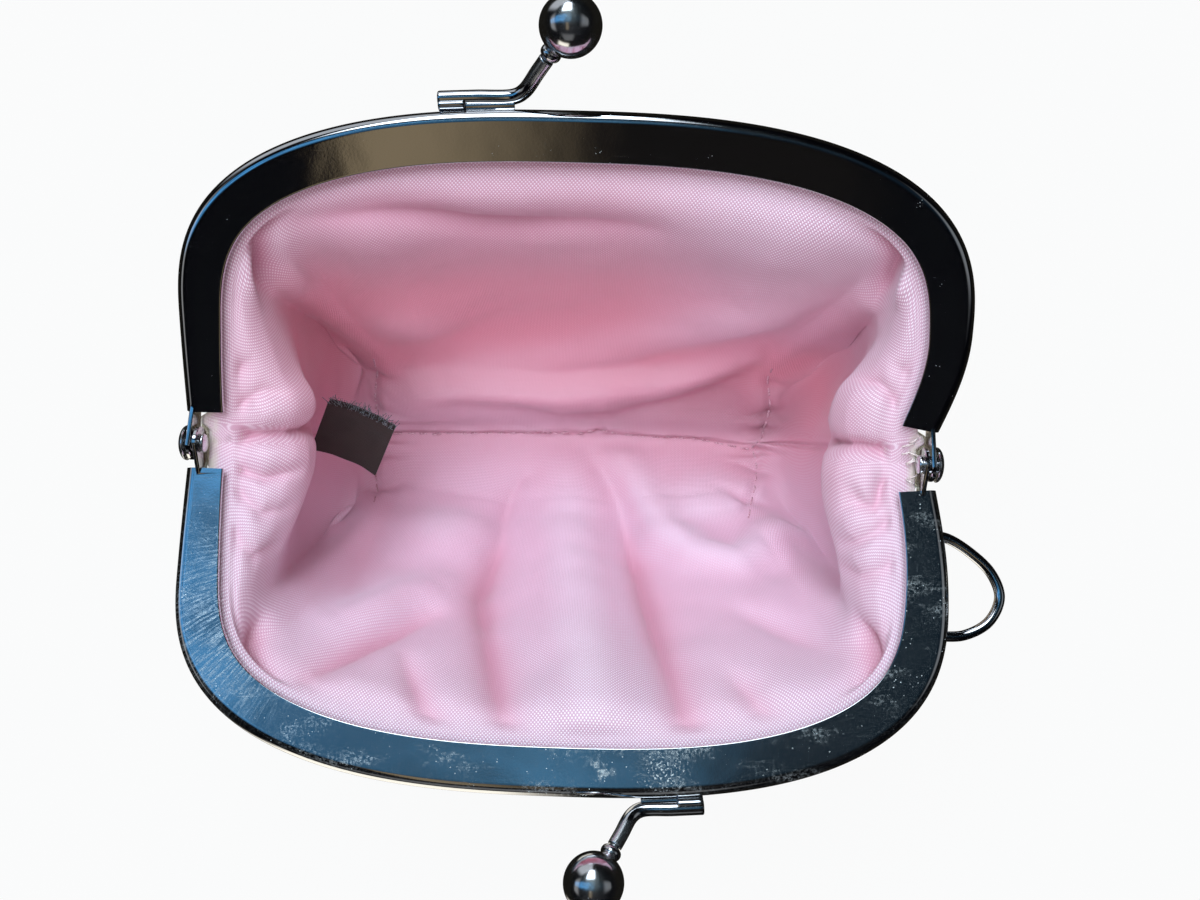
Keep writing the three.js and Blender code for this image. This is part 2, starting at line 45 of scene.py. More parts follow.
# Frame halves: u along the hinge, v away from it, w up from the hinge axis
HINGE_HEIGHT = 54.0
HALF_RAISE = math.radians(12)
FACE_LEVEL = -0.5
ARCH_CENTRE = 17.5
ARCH_POWER = 2.65
LIP_WIDTH = {"hinge": 5.3, "arch": 6.5, "from": 30.0}
CHANNEL_DEPTH = 4.6
SHEET = 0.7
RIM_RADIUS = 1.5
EDGE = 0.16
EDGE_SUPPORT = 0.12
RIM_STATIONS = 300
MID_LEVEL = FACE_LEVEL - CHANNEL_DEPTH / 2
RIGHT_END = 50.4
LEFT_END = 52.3
HALVES = {
    "back": {"flip": 1, "cut": 4.2, "height": 45.0, "plus": (RIGHT_END, 53.6), "minus": (LEFT_END, 52.5)},
    "front": {"flip": -1, "cut": 3.3, "height": 45.4, "plus": (LEFT_END, 52.5), "minus": (RIGHT_END, 52.0)},
}
GAP = 0.3
EAR_SHEET = 0.6
EAR_RADIUS = 2.3
EAR_RUN = 2.4
EAR_SHOULDER = 1.2
EAR_EASE = 0.12
EAR_TUCK = 0.3
EAR_DEPTH = {"back": 0.8, "front": 0.8 + EAR_SHEET + GAP}
RIVET_RADIUS = 0.8
RIVET_HEAD = (2.4, 1.0)
RIVET_TAIL = (1.3, 0.4)
RIVET_EDGE = 0.1
ROD_RADIUS = 1.0
ROD_STANDOFF = 0.6
BALL_RADIUS = 3.9
BALL_LEVEL = 2.8
COLLAR = (1.35, 1.3)
COLLAR_WAIST = 0.35
COLLAR_SWELL = 0.38
TENON = (0.6, 3.4)
FOOT = (3.6, 1.5, 3.2)
SOLDER = (1.55, 1.2)
BEND_RUN = (0.8, 1.0)
CLASPS = {
    "back": {"start": -18.0, "bend": -8.3, "ball": -0.2, "reach": 54.9},
    "front": {"start": -19.8, "bend": -11.6, "ball": -5.6, "reach": 55.2},
}
LOOP_WIRE = 0.7
LOOP_HOLE = 1.05
LOOP_ROUTE = [
    (50.1, 9.4), (52.0, 9.6), (55.1, 11.4), (58.0, 14.2),
    (59.1, 17.4), (57.6, 20.7), (54.3, 22.6), (50.6, 22.9),
]

# Faces round each swept or turned form, points along the wires, and angles of sharp edges in degrees
SIDES = {"rod": 28, "tenon": 16, "foot": 24, "solder": 20, "hole": 32, "ball": 72, "rivet": 56, "wire": 24}
POINTS = {"rod": 70, "wire": 140}
SHARP = {"frame": 38, "ball": 45, "rivet": 40, "wire": 45, "label": 50}
DRILL = {"rivet": 4, "loop": 2}

# Cloth: lining and shell on either side of one middle surface
CLOTH_GAP = 0.3
LINING_WALL = 1.0
SHELL_WALL = 1.2
LIP_THINNING = 0.65
TUCK_REACH = 2.6
LIP_CLEARANCE = 0.6
TUCK_LEVEL = FACE_LEVEL - 2.25
BASE = {"centre": -1.5, "length": 33.0, "depth": 12.0, "power": 4, "corner": 0.447}
BASE_LEVEL = CLOTH_GAP / 2 + SHELL_WALL
HANG = {"front": 0.62, "back": 0.55, "round": 1.5, "from": 0.45}
SIDE_TURN, CORNER_TURN, PANEL_TURN = (math.radians(a) for a in (22, 37, 56))
BULGE_TURN = {"back": 24, "front left": 24, "front right": 46, "wide": 58}
BULGE_WIDE_SHARE = 0.35
RIGHT_BULGE = 0.81
CLOSER_AT_HINGES = 0.6
LINING_TURNS = 456
SHELL_TURNS = 360
LAST_LEVEL = 1.96
PANEL_LENGTH = 80
WALL_ROWS = {
    "side": [(0, 0), (0, .01), (.02, .05), (.04, .13), (.06, .25),
             (.08, .38), (.12, .56), (.25, .75), (.58, .92), (1, 1)],
    "corner": [(0, 0), (.04, .04), (.10, .12), (.17, .21), (.27, .33),
               (.39, .47), (.53, .62), (.68, .78), (.85, .93), (1, 1)],
    "back": [(0, 0), (.16, .02), (.29, .09), (.37, .19), (.45, .32),
             (.53, .46), (.61, .61), (.72, .78), (.86, .93), (1, 1)],
    "front": [(0, 0), (.11, .03), (.22, .11), (.31, .20), (.41, .33),
              (.51, .47), (.61, .62), (.73, .78), (.87, .93), (1, 1)],
    "bulge": [(0, 0), (3.5, 0), (6.8, 0), (8.1, 0), (6.1, 0), (2.4, 0), (0, 0), (0, 0), (0, 0), (0, 0)],
}

# Folds of the lining: half-width, height (below 0 for a valley), then a route by place and level
PANEL_FOLDS = [
    # Front panel: main valley, arc ridge, left valley and middle ridge
    (2.7, -3.3, (.806, 1.47), (.800, .89), (.801, .62), (.804, .36), (.807, .05), (.809, -.12)),
    (4.2, 3.2, (.845, 1.5), (.824, 1.07), (.826, .83), (.843, .73), (.864, .68), (.889, .74), (.925, .80)),
    (2.6, -3.1, (.679, 1.31), (.696, .81), (.697, .58), (.715, .34), (.731, .05), (.738, -.12)),
    (6.0, 2.8, (.757, 1.3), (.757, 1.05), (.753, .73), (.762, .39), (.768, .04)),
    # Front panel: dents at the rim, diagonal with its ridge, left hollow and right corner
    (1.8, -1.8, (.674, .28), (.700, .04), (.706, -.08)),
    (1.8, -1.4, (.835, .22), (.843, .04), (.845, -.08)),
    (2.2, -2.6, (.636, .12), (.654, .32), (.674, .46)),
    (4.0, 1.6, (.632, .36), (.655, .50), (.670, .58)),
    (3.4, -1.4, (.625, .50), (.601, .87), (.583, 1.08)),
    (2.8, -1.2, (.850, .48), (.880, .30)),
    # Back panel: swell, roll, foot of the roll, band under the lip, fill at the right and pleat at the left
    (8.0, 3.4, (.372, 1.04), (.303, .92), (.229, .80), (.175, .68), (.140, .52), (.126, .30)),
    (4.6, 4.6, (.435, 1.02), (.365, 1.16), (.256, 1.18), (.172, 1.04), (.140, .86), (.124, .79)),
    (2.4, -1.8, (.406, 1.24), (.35, 1.36), (.278, 1.55), (.159, 1.53),
     (.129, 1.22), (.121, .98), (.108, .86)),
    (2.8, -2.6, (.372, .11), (.340, .13), (.318, .16), (.296, .20), (.274, .21), (.250, .20), (.215, .19)),
    (5.0, 2.4, (.074, .58), (.070, .70), (.069, .80), (.073, .92)),
    (3.0, 1.6, (.392, .05), (.396, .22), (.412, .42)),
    # Creases low on the left side
    (1.6, 1.6, (.425, .78), (.440, .87), (.478, .84)),
    (1.6, 1.6, (.544, .87), (.561, .85), (.574, .78)),
]
# Round mounds of the lining: size, height, place and level
PANEL_MOUNDS = [(7.0, 2.2, .870, .98), (9.0, 3.0, .362, .66), (8.0, 1.8, .655, .80), (6.0, 1.4, .872, .50)]
# Creases and lobes that run in from the hinges, given as the folds are
HINGE_CREASES = [
    # Left hinge
    (0.8, -2.6, (.4977, -.9), (.4977, .02), (.496, .16), (.493, .48)),
    (0.8, -1.7, (.503, -.7), (.509, .03), (.512, .14), (.508, .30)),
    (1.0, -1.3, (.507, -.3), (.519, .05), (.527, .16), (.524, .32)),
    (1.2, -1.0, (.535, .04), (.545, .18), (.540, .34)),
    (0.9, -1.2, (.492, -.6), (.486, .04), (.480, .14), (.482, .26)),
    (1.1, -0.9, (.487, -.2), (.472, .04), (.464, .16)),
    (3.2, 1.5, (.487, .16), (.485, .36)),
    (2.4, 0.9, (.503, .14), (.505, .32)),
    # Right hinge
    (0.8, -2.6, (.0035, -.9), (.004, .02), (.006, .16), (.007, .50)),
    (0.8, -1.7, (.996, -.6), (.993, .04), (.987, .10), (.990, .17), (.984, .27)),
    (1.0, -1.2, (.990, -.2), (.980, .05), (.972, .20), (.970, .34)),
    (1.2, -1.0, (.962, .04), (.955, .20), (.958, .36)),
    (0.9, -1.3, (.010, -.6), (.016, .04), (.022, .16), (.020, .30)),
    (1.1, -0.8, (.018, -.2), (.030, .05), (.034, .18)),
    (2.6, 0.7, (.014, .14), (.014, .36)),
    (2.4, 0.6, (.996, .14), (.997, .34)),
]
# Tucks at the four corners of the mouth, those at the back with the edge of the side cloth beside them
CORNER_TUCKS = [
    (1.7, -3.2, (.390, -.02), (.396, .04), (.405, .13), (.420, .23), (.437, .36)),
    (1.1, 1.3, (.407, 0), (.417, .07), (.434, .16), (.449, .24)),
    (1.7, -3.2, (.111, -.02), (.107, .03), (.101, .09), (.096, .16), (.087, .27), (.078, .38)),
    (1.1, 1.3, (.100, -.02), (.090, .02), (.079, .11), (.064, .24)),
    (1.6, -3.0, (.614, -.02), (.6035, .07), (.591, .17), (.579, .27)),
    (1.5, -3.0, (.898, -.02), (.910, .11), (.9236, .22), (.934, .30)),
]
# Seams of the lining's base in plan
BASE_SEAM = [
    (-36, 0), (-23, 0.2), (-11, 0.8), (0, 1.0), (3, 1.9),
    (6, 1.2), (11, 0.8), (21, 0.6), (26, -0.4), (31, -1),
]
BOX_SEAMS = [
    [(32, 14), (32, 11), (33, 6), (32, 1), (30.5, -1), (31.5, -5), (30, -10), (29, -13)],
    [(-35, 13), (-36, 6), (-36, 0), (-36, -6), (-35, -12)],
]

# Label: a folded tape that stands out from the left side seam
LABEL_SIZE = {"length": 11.0, "height": 9.0, "ply": 0.5, "slit": 0.4}
LABEL_PLACE = {"at": (-35.2, 0.2, 27.0), "heading": -22, "slope": 8, "tip": 24}
LABEL_COLUMNS = 36

# Threads: radius, and for stitches the pitch, length, how far aside of the seam and the highest place
STITCH_RADIUS = 0.16
BASE_STITCHES = (2.3, 1.5, 0.35, 9)
BOX_STITCHES = (2.0, 1.3, 0.0, 16)
LOOSE_RADIUS = 0.11
LOOSE_COUNT = 9
FRAY_RADIUS = 0.045
FRAY_COUNT = 45

# Half a repeat of each weave, and the stains of the lining by place and size
LINING_YARN, SHELL_YARN, LABEL_YARN = 0.24, 0.55, 0.16
LINING_STAINS = [((-15.0, 14.0, 6.0), 1.6), ((-5.0, 20.0, 21.0), 1.1), ((-47.0, 0.5, 52.5), 0.9)]

FLOOR_REACH = 3.0
FLOOR_DROP = 0.0002
CAMERA_SENSOR = 36.0
CAMERA_LENS = 36.0
CAMERA_AT = (7.927, 10.147, 216.738)
CAMERA_AXES = (
    (0.9993441, -0.0297205, 0.0206873),
    (0.0284762, 0.9979078, 0.0580447),
    (-0.0223691, -0.0574175, 0.9980996),
)


# Forms of the rim and the cloth
def smooth(x):
    x = np.clip(x, 0, 1)
    return x * x * (3 - 2 * x)


def unit(vectors):
    return vectors / np.maximum(np.linalg.norm(vectors, axis=-1, keepdims=True), 1e-9)


def run_lengths(points):
    """Length of a line from its start to each of its points."""
    return np.concatenate([[0], np.cumsum(np.linalg.norm(np.diff(points, axis=0), axis=1))])


def catmull(points, shares):
    """Points along a centripetal Catmull-Rom curve, by share of its spans."""
    p = np.asarray(points, float)
    ends = np.vstack([2 * p[0] - p[1], p, 2 * p[-1] - p[-2]])
    at = np.clip(np.asarray(shares, float), 0, 1) * (len(p) - 1)
    i = np.minimum(at.astype(int), len(p) - 2)
    w = (at - i)[:, None]
    p0, p1, p2, p3 = (ends[i + k] for k in range(4))

    def knot(a, b):
        return np.sum((a - b) ** 2, 1)[:, None] ** 0.25

    d1 = knot(p1, p2)
    d1 = np.where(d1 < 1e-4, 1.0, d1)
    d0 = np.where(knot(p0, p1) < 1e-4, d1, knot(p0, p1))
    d2 = np.where(knot(p2, p3) < 1e-4, d1, knot(p2, p3))
    t1 = ((p1 - p0) / d0 - (p2 - p0) / (d0 + d1) + (p2 - p1) / d1) * d1
    t2 = ((p2 - p1) / d1 - (p3 - p1) / (d1 + d2) + (p3 - p2) / d2) * d1
    return p1 + t1 * w + (3 * (p2 - p1) - 2 * t1 - t2) * w ** 2 + (2 * (p1 - p2) + t1 + t2) * w ** 3


SHARES = np.linspace(0, 1, 2001)
PROFILES = {name: catmull(rows, SHARES) for name, rows in WALL_ROWS.items()}


def profile(name, level):
    level = np.clip(level, 0, 1)
    return np.stack([np.interp(level, SHARES, PROFILES[name][:, k]) for k in (0, 1)], -1)


def rim_outline(half):
    """The rim's outside line from the +u hinge line over the arch to the -u hinge line."""
    def side(end, widest):
        v = np.linspace(0, ARCH_CENTRE, 400, endpoint=False)
        climb = np.clip((v - half["cut"]) / (ARCH_CENTRE - half["cut"]), 0, None)
        return np.stack([end + (widest - end) * np.sin(climb * math.pi / 2), v], 1)

    angle = np.linspace(0, math.pi, 2401)
    width = np.where(np.cos(angle) > 0, half["plus"][1], half["minus"][1])
    across = np.abs(np.cos(angle) / width) ** ARCH_POWER
    up = np.abs(np.sin(angle) / (half["height"] - ARCH_CENTRE)) ** ARCH_POWER
    radius = (across + up) ** (-1 / ARCH_POWER)
    arch = np.stack([radius * np.cos(angle), ARCH_CENTRE + radius * np.sin(angle)], 1)
    minus = side(*half["minus"])[::-1] * (-1, 1)
    points = np.vstack([side(*half["plus"]), arch, minus])
    length = run_lengths(points)
    half["points"], half["length"], half["share"] = points, length[-1], length / length[-1]


for half in HALVES.values():
    rim_outline(half)


def rim_point(half, share, depth):
    """(u, v) of a point set in from the rim's outside by depth."""
    def at(s):
        return np.stack([np.interp(s, half["share"], half["points"][:, k]) for k in (0, 1)], -1)

    step = 0.002
    tangent = unit(at(np.clip(share + step, 0, 1)) - at(np.clip(share - step, 0, 1)))
    point = at(share)
    return point[..., 0] - tangent[..., 1] * depth, point[..., 1] + tangent[..., 0] * depth


def lip_width(half, share):
    v = np.interp(share, half["share"], half["points"][:, 1])
    return LIP_WIDTH["hinge"] + (LIP_WIDTH["arch"] - LIP_WIDTH["hinge"]) * smooth(v / LIP_WIDTH["from"])


def to_purse(half, u, v, w):
    """A point of a half's own plane, in the purse's frame."""
    y = v * math.cos(HALF_RAISE) - w * math.sin(HALF_RAISE)
    z = HINGE_HEIGHT + v * math.sin(HALF_RAISE) + w * math.cos(HALF_RAISE)
    u, y, z = np.broadcast_arrays(half["flip"] * np.asarray(u, float), half["flip"] * y, z)
    return np.stack([u, y, z], -1)


def slot_point(half, share, depth):
    """The cloth in the channel's slot, or across the hinge gap."""
    u, v = rim_point(half, share, depth)
    lift = HALF_RAISE * smooth(v / half["cut"])
    y = v * math.cos(HALF_RAISE) - TUCK_LEVEL * np.sin(lift)
    z = HINGE_HEIGHT + v * math.sin(HALF_RAISE) + TUCK_LEVEL * np.cos(lift)
    return np.stack([half["flip"] * u, half["flip"] * y, z], -1)


def base_point(angle):
    heading = np.arctan2(BASE["corner"] * np.sin(angle), np.cos(angle))
    along = np.abs(np.cos(heading) / BASE["length"]) ** BASE["power"]
    across = np.abs(np.sin(heading) / BASE["depth"]) ** BASE["power"]
    radius = (along + across) ** (-1 / BASE["power"])
    x = BASE["centre"] + radius * np.cos(heading)
    return np.stack([x, radius * np.sin(heading), np.full_like(radius, BASE_LEVEL)], -1)


def from_hinge(turn):
    share = (turn * 2) % 1
    return math.pi * np.minimum(share, 1 - share)


def from_seam(turn):
    """Rough distance from the nearer side seam."""
    return from_hinge(turn) * PANEL_LENGTH / math.pi


def hung_height(y):
    """The lining hangs to its base seam in a V above the flat bottom of the shell."""
    slope = np.where(y < 0, HANG["front"], HANG["back"])
    return slope * (np.sqrt(y ** 2 + HANG["round"] ** 2) - HANG["round"])


def cloth_point(turn, level, hang=0):
    """
    The cloth's middle surface. Turn 0 is the right hinge and 0.25 the back.
    Level -1 is the tucked edge, 0 the lip, 1 the base's edge and 2 its middle. Hang is 1 for the lining.
    """
    turn, level = np.broadcast_arrays(np.asarray(turn, float) % 1, np.asarray(level, float))
    share = np.clip((turn * 2) % 1, 1e-5, 1 - 1e-5)
    foot = base_point(2 * math.pi * turn)
    angle = from_hinge(turn)
    to_corner = smooth((angle - SIDE_TURN) / (CORNER_TURN - SIDE_TURN))[..., None]
    to_panel = smooth((angle - CORNER_TURN) / (PANEL_TURN - CORNER_TURN))[..., None]
    front_turn = np.where(turn < 0.75, BULGE_TURN["front left"], BULGE_TURN["front right"])
    near = 1 - smooth(np.degrees(angle) / np.where(turn < 0.5, BULGE_TURN["back"], front_turn))
    wide = 1 - smooth(np.degrees(angle) / BULGE_TURN["wide"])
    bulge = profile("bulge", level)[..., 0] * (near + (wide - near) * BULGE_WIDE_SHARE)
    bulge *= np.where(np.cos(2 * math.pi * turn) > 0, RIGHT_BULGE, 1.0)
    out = np.zeros(turn.shape + (3,))
    for name, here in (("back", turn < 0.5), ("front", turn >= 0.5)):
        half = HALVES[name]
        depth = lip_width(half, share) + LIP_CLEARANCE
        lip = slot_point(half, share, depth + (LIP_CLEARANCE + TUCK_REACH) * np.minimum(level, 0))
        into = slot_point(half, share, depth + 1) - slot_point(half, share, depth)
        into[..., 2] = 0
        shares = profile("side", level) * (1 - to_corner) + profile("corner", level) * to_corner
        shares = shares * (1 - to_panel) + profile(name, level) * to_panel
        point = lip + (foot - lip) * shares[..., :1]
        lift = hung_height(foot[..., 1]) * smooth((level - HANG["from"]) / (1 - HANG["from"]))
        point[..., 2] = lip[..., 2] + (foot[..., 2] - lip[..., 2]) * shares[..., 1] + hang * lift
        point += unit(into) * bulge[..., None]
        out[here] = point[here]
    middle = np.array([BASE["centre"], 0, BASE_LEVEL])
    low = level > 1
    floor = foot + (middle - foot) * (level - 1)[..., None]
    floor[..., 2] = BASE_LEVEL + hang * hung_height(floor[..., 1])
    out[low] = floor[low]
    return out


def cloth_inward(turn, level, hang=0):
    """The way folds stand in: square to the wall, turning to the lie of the base."""
    across = cloth_point(turn + 0.004, level, hang) - cloth_point(turn - 0.004, level, hang)
    below, above = np.minimum(level + 0.05, 1.0), np.minimum(level - 0.05, 0.9)
    inward = unit(-np.cross(cloth_point(turn, below, hang) - cloth_point(turn, above, hang), across))
    y = cloth_point(turn, level, hang)[..., 1]
    lean = -hang * np.where(y < 0, -HANG["front"], HANG["back"]) * np.minimum(np.abs(y) / 4, 1)
    base = unit(np.stack([np.zeros_like(lean), lean, np.ones_like(lean)], -1))
    share = smooth((level - 0.75) / 0.4)[..., None]
    return unit(inward * (1 - share) + base * share)


def route_distance(points, route):
    """Distance from a route, how far along it, and the side in plan (positive on the left of its run)."""
    route = np.asarray(route, float)
    size = route.shape[1]
    best = np.full(points.shape[:-1], 1e9)
    along = np.zeros_like(best)
    side = np.zeros_like(best)
    start = 0.0
    for a, b in zip(route[:-1], route[1:]):
        run = b - a
        length = np.linalg.norm(run)
        offset = points[..., :size] - a
        t = np.clip(offset @ run / length ** 2, 0, 1)
        gap = np.linalg.norm(offset - t[..., None] * run, axis=-1)
        closer = gap < best
        best = np.where(closer, gap, best)
        along = np.where(closer, start + t * length, along)
        side = np.where(closer, (run[0] * offset[..., 1] - run[1] * offset[..., 0]) / length, side)
        start += length
    return best, along / start, side


def on_cloth(route, between=4):
    """A route given by place and level, as points on the cloth's middle surface."""
    route = np.asarray(route, float)
    shares = np.linspace(0, len(route) - 1, (len(route) - 1) * between + 1)
    turn, level = (np.interp(shares, np.arange(len(route)), route[:, k]) for k in (0, 1))
    return cloth_point(turn, level, hang=1)


def ripple(points, wavelength, seed, count=22):
    """Smooth seeded noise of about unit size, from waves in random directions."""
    draw = np.random.default_rng(seed)
    waves = draw.normal(size=(3, count))
    waves *= 2 * math.pi / wavelength * draw.uniform(0.6, 1.4, count) / np.linalg.norm(waves, axis=0)
    return np.cos(points @ waves + draw.uniform(0, 2 * math.pi, count)).sum(-1) * math.sqrt(2 / count)


def fold_heights(points, folds, taper, softness=0.3, sharpness=1.0):
    """Heights of a table of folds: a ridge is round, and a valley comes to a sharp bottom."""
    total = np.zeros(points.shape[:-1])
    for width, height, *route in folds:
        gap, along, _ = route_distance(points, on_cloth(route))
        soft = softness * width
        sharp = np.exp((soft - np.sqrt(gap ** 2 + soft ** 2)) * sharpness / width)
        total += height * taper(along) * (np.exp(-(gap / width) ** 2) if height > 0 else sharp)
    return total


def lining_raise(turn, level, points):
    """How far the lining stands in from the middle surface: folds, creases, seams and small ripples."""
    def both_ends(along):
        return 0.3 + 0.7 * np.sin(math.pi * np.clip(along, 0.02, 0.98)) ** 0.5

    def far_end(run):
        return lambda along: smooth((1 - along) / run)

    open_wall = smooth((level - 0.01) / 0.08)
    off_side = smooth((from_hinge(turn) - math.radians(10)) / math.radians(14))
    on_panel = np.maximum(off_side, smooth((level - 0.55) / 0.2))
    panel = fold_heights(points, PANEL_FOLDS, both_ends, 0.35, 1.25)
    for size, height, *at in PANEL_MOUNDS:
        away = np.linalg.norm(points - cloth_point(*at, hang=1), axis=-1)
        panel += height * np.exp(-(away / size) ** 2)
    raised = panel * on_panel * open_wall
    raised += (0.14 * ripple(points, 21, 1) + 0.06 * ripple(points, 9, 2)) * open_wall
    # Hinge creases, corner tucks and side seams
    in_gap = 0.4 * smooth((3.0 - np.abs(points[..., 1])) / 0.8) * smooth((level + 0.98) / 0.2)
    beside = np.maximum(smooth(level / 0.06), in_gap)
    raised += fold_heights(points, HINGE_CREASES, far_end(0.35)) * beside
    raised += fold_heights(points, CORNER_TUCKS, far_end(0.5)) * smooth(level / 0.05)
    seam = np.exp(-(from_seam(turn) / 0.35) ** 2)
    raised -= 0.9 * seam * smooth((level - 0.4) / 0.2) * smooth((1.0 - level) / 0.05)
    # Base seam with a raised strip behind it and puckers along it
    low = smooth((level - 0.72) / 0.2)
    raised += 0.9 * low
    flat = smooth((level - 0.8) / 0.2)
    gap, along, side = route_distance(points, BASE_SEAM)
    strip = 1 / (1 + np.exp(-side / 0.22)) * (1 - smooth((side - 4) / 4))
    raised += 1.1 * strip * flat * (gap < 12)
    raised -= 0.5 * np.exp(-(gap / 0.45) ** 2) * flat
    pucker = 0.5 + 0.5 * np.cos(along * 2 * math.pi * 15 + 2 * np.sin(along * 31))
    raised += 0.5 * pucker * np.exp(-(gap / 2.0) ** 2) * flat
    # Seams of the boxed corners
    for route in BOX_SEAMS:
        gap, along, _ = route_distance(points, route)
        pucker = np.cos(along * 2 * math.pi * 6 + 1.5 * np.sin(along * 19))
        raised += (-0.9 * np.exp(-(gap / 0.6) ** 2) + 0.8 * pucker * np.exp(-(gap / 3.0) ** 2)) * flat
    lowest = -3.5 * smooth(level / 0.10) * (1 - low) - 0.5 * low * hung_height(points[..., 1])
    return np.maximum(raised, lowest)


def shell_raise(turn, level, points):
    """How far the shell stands in from its smooth form: negative, and clear of the lining's valleys."""
    wall = smooth((level - 0.05) / 0.15) * smooth((0.98 - level) / 0.10)
    gathers = 0.5 + 0.5 * np.cos(2 * math.pi * turn * 46 + 2.2 * np.sin(2 * math.pi * turn * 7))
    raised = 0.7 * gathers * np.exp(-((level - 0.12) / 0.12) ** 2)
    raised += 0.55 * ripple(points, 24, 5) + 0.18 * ripple(points, 9, 6) + 0.6
    seam = from_seam(turn)
    raised -= 0.5 * np.exp(-(seam / 0.5) ** 2)
    raised += 0.5 * np.exp(-((seam - 1.4) / 1.0) ** 2)
    hung = cloth_point(turn, level, hang=1)
    room = np.linalg.norm(hung - points, axis=-1)
    valley = np.maximum(0.4 - lining_raise(turn, level, hung) - 0.6 * room, 0.0)
    valley *= smooth((level - 0.02) / 0.05)
    return -np.maximum(np.maximum(raised, 0.0) * wall, valley * smooth((1 - level) / 0.1))


# Mesh making
def shade_smooth(mesh):
    mesh.polygons.foreach_set("use_smooth", np.ones(len(mesh.polygons), bool))


def make_object(name, points, faces, material, uv=None):
    """A mesh object from millimetre points."""
    mesh = bpy.data.meshes.new(name)
    mesh.from_pydata((np.asarray(points, float) * MM).tolist(), [], faces)
    if uv is not None:
        layer = mesh.uv_layers.new(name="Cloth")
        layer.data.foreach_set("uv", np.asarray(uv, np.float32).ravel())
    shade_smooth(mesh)
    mesh.update()
    obj = bpy.data.objects.new(name, mesh)
    bpy.context.scene.collection.objects.link(obj)
    obj.data.materials.append(material)
    return obj


def ring_faces(rows, columns):
    """Quads between closed rings of the same number of points."""
    i, j = np.meshgrid(np.arange(rows - 1), np.arange(columns), indexing="ij")
    k = (j + 1) % columns
    quads = np.stack([i * columns + j, i * columns + k, (i + 1) * columns + k, (i + 1) * columns + j], -1)
    return quads.reshape(-1, 4).tolist()


def capped_rings(rings):
    """A closed solid through rings of points, with a flat face at each end."""
    rows, columns = len(rings), len(rings[0])
    faces = ring_faces(rows, columns)
    faces.append(list(range(columns))[::-1])
    faces.append(list(range((rows - 1) * columns, rows * columns)))
    return np.vstack(rings), faces


def sweep(path, radius, sides, squash=1.0, round_ends=0.0):
    """A closed tube along a path; radius may be one number or one for each point."""
    path = np.asarray(path, float)
    radius = np.broadcast_to(np.asarray(radius, float), (len(path),)).copy()
    tangent = unit(np.gradient(path, axis=0))
    if round_ends:
        angles = np.linspace(math.pi / 2, 0, 6)[:-1]
        depth = round_ends * radius[0]
        first = np.array([path[0] + tangent[0] * depth * (1 - math.sin(a)) for a in angles])
        last = np.array([path[-1] - tangent[-1] * depth * (1 - math.sin(a)) for a in angles[::-1]])
        small = np.array([1 - round_ends + round_ends * math.cos(a) for a in angles])
        inside = slice(1, -1)
        path = np.vstack([first, path[inside], last])
        radius = np.concatenate([small * radius[0], radius[inside], small[::-1] * radius[-1]])
        tangent = np.vstack([[tangent[0]] * len(first), tangent[inside], [tangent[-1]] * len(last)])
    up = np.array([0.0, 0.0, 1.0])
    normal = up - tangent[0] * (up @ tangent[0])
    if np.linalg.norm(normal) < 0.1:
        normal = np.array([1.0, 0, 0]) - tangent[0] * tangent[0][0]
    angle = np.arange(sides) * 2 * math.pi / sides
    rings = []
    for point, t, r in zip(path, tangent, radius):
        normal = unit(normal - t * (normal @ t))
        other = np.cross(t, normal)
        rings.append(point + r * (np.outer(np.cos(angle), other) + squash * np.outer(np.sin(angle), normal)))
    return capped_rings(rings)


def lathe(outline, sides):
    """A solid turned about +Z from (radius, height) points; the first and last lie on the axis."""
    outline = np.asarray(outline, float)
    angle = np.arange(sides) * 2 * math.pi / sides
    rings = [np.stack([r * np.cos(angle), r * np.sin(angle), np.full(sides, h)], 1) for r, h in outline[1:-1]]
    points = np.vstack(rings + [[[0, 0, outline[0][1]], [0, 0, outline[-1][1]]]])
    faces = ring_faces(len(rings), sides)
    low, high = len(points) - 2, len(points) - 1
    top = (len(rings) - 1) * sides
    for j in range(sides):
        k = (j + 1) % sides
        faces.append((low, k, j))
        faces.append((high, top + j, top + k))
    return points, faces


def turned(points, axis, centre):
    """Points made about +Z, turned so that +Z lies along axis."""
    rotation = np.array(Vector((0, 0, 1)).rotation_difference(Vector(axis)).to_matrix())
    return points @ rotation.T + np.asarray(centre)


def closed_object(name, points, faces, material, uv=None):
    """A mesh object with all its faces turned outwards."""
    obj = make_object(name, points, faces, material, uv)
    work = bmesh.new()
    work.from_mesh(obj.data)
    bmesh.ops.recalc_face_normals(work, faces=work.faces)
    work.to_mesh(obj.data)
    work.free()
    shade_smooth(obj.data)
    return obj


def combine(obj, mesh, operation):
    """Joins or cuts an object with a closed mesh."""
    tool = closed_object("tool", *mesh, NICKEL)
    modifier = obj.modifiers.new("combine", "BOOLEAN")
    modifier.operation = operation
    modifier.object = tool
    modifier.solver = "EXACT"
    graph = bpy.context.evaluated_depsgraph_get()
    result = bpy.data.meshes.new_from_object(obj.evaluated_get(graph))
    obj.modifiers.clear()
    obj.data = result
    bpy.data.objects.remove(tool)


def finish_piece(obj, node, sharp=None):
    """Sets a piece's sharp edges, parents it to the root body and hides the imported solid it stands for."""
    if sharp is not None:
        shade_smooth(obj.data)
        obj.data.set_sharp_from_angle(angle=math.radians(sharp))
    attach(obj, "root")
    if node:
        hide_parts(node)


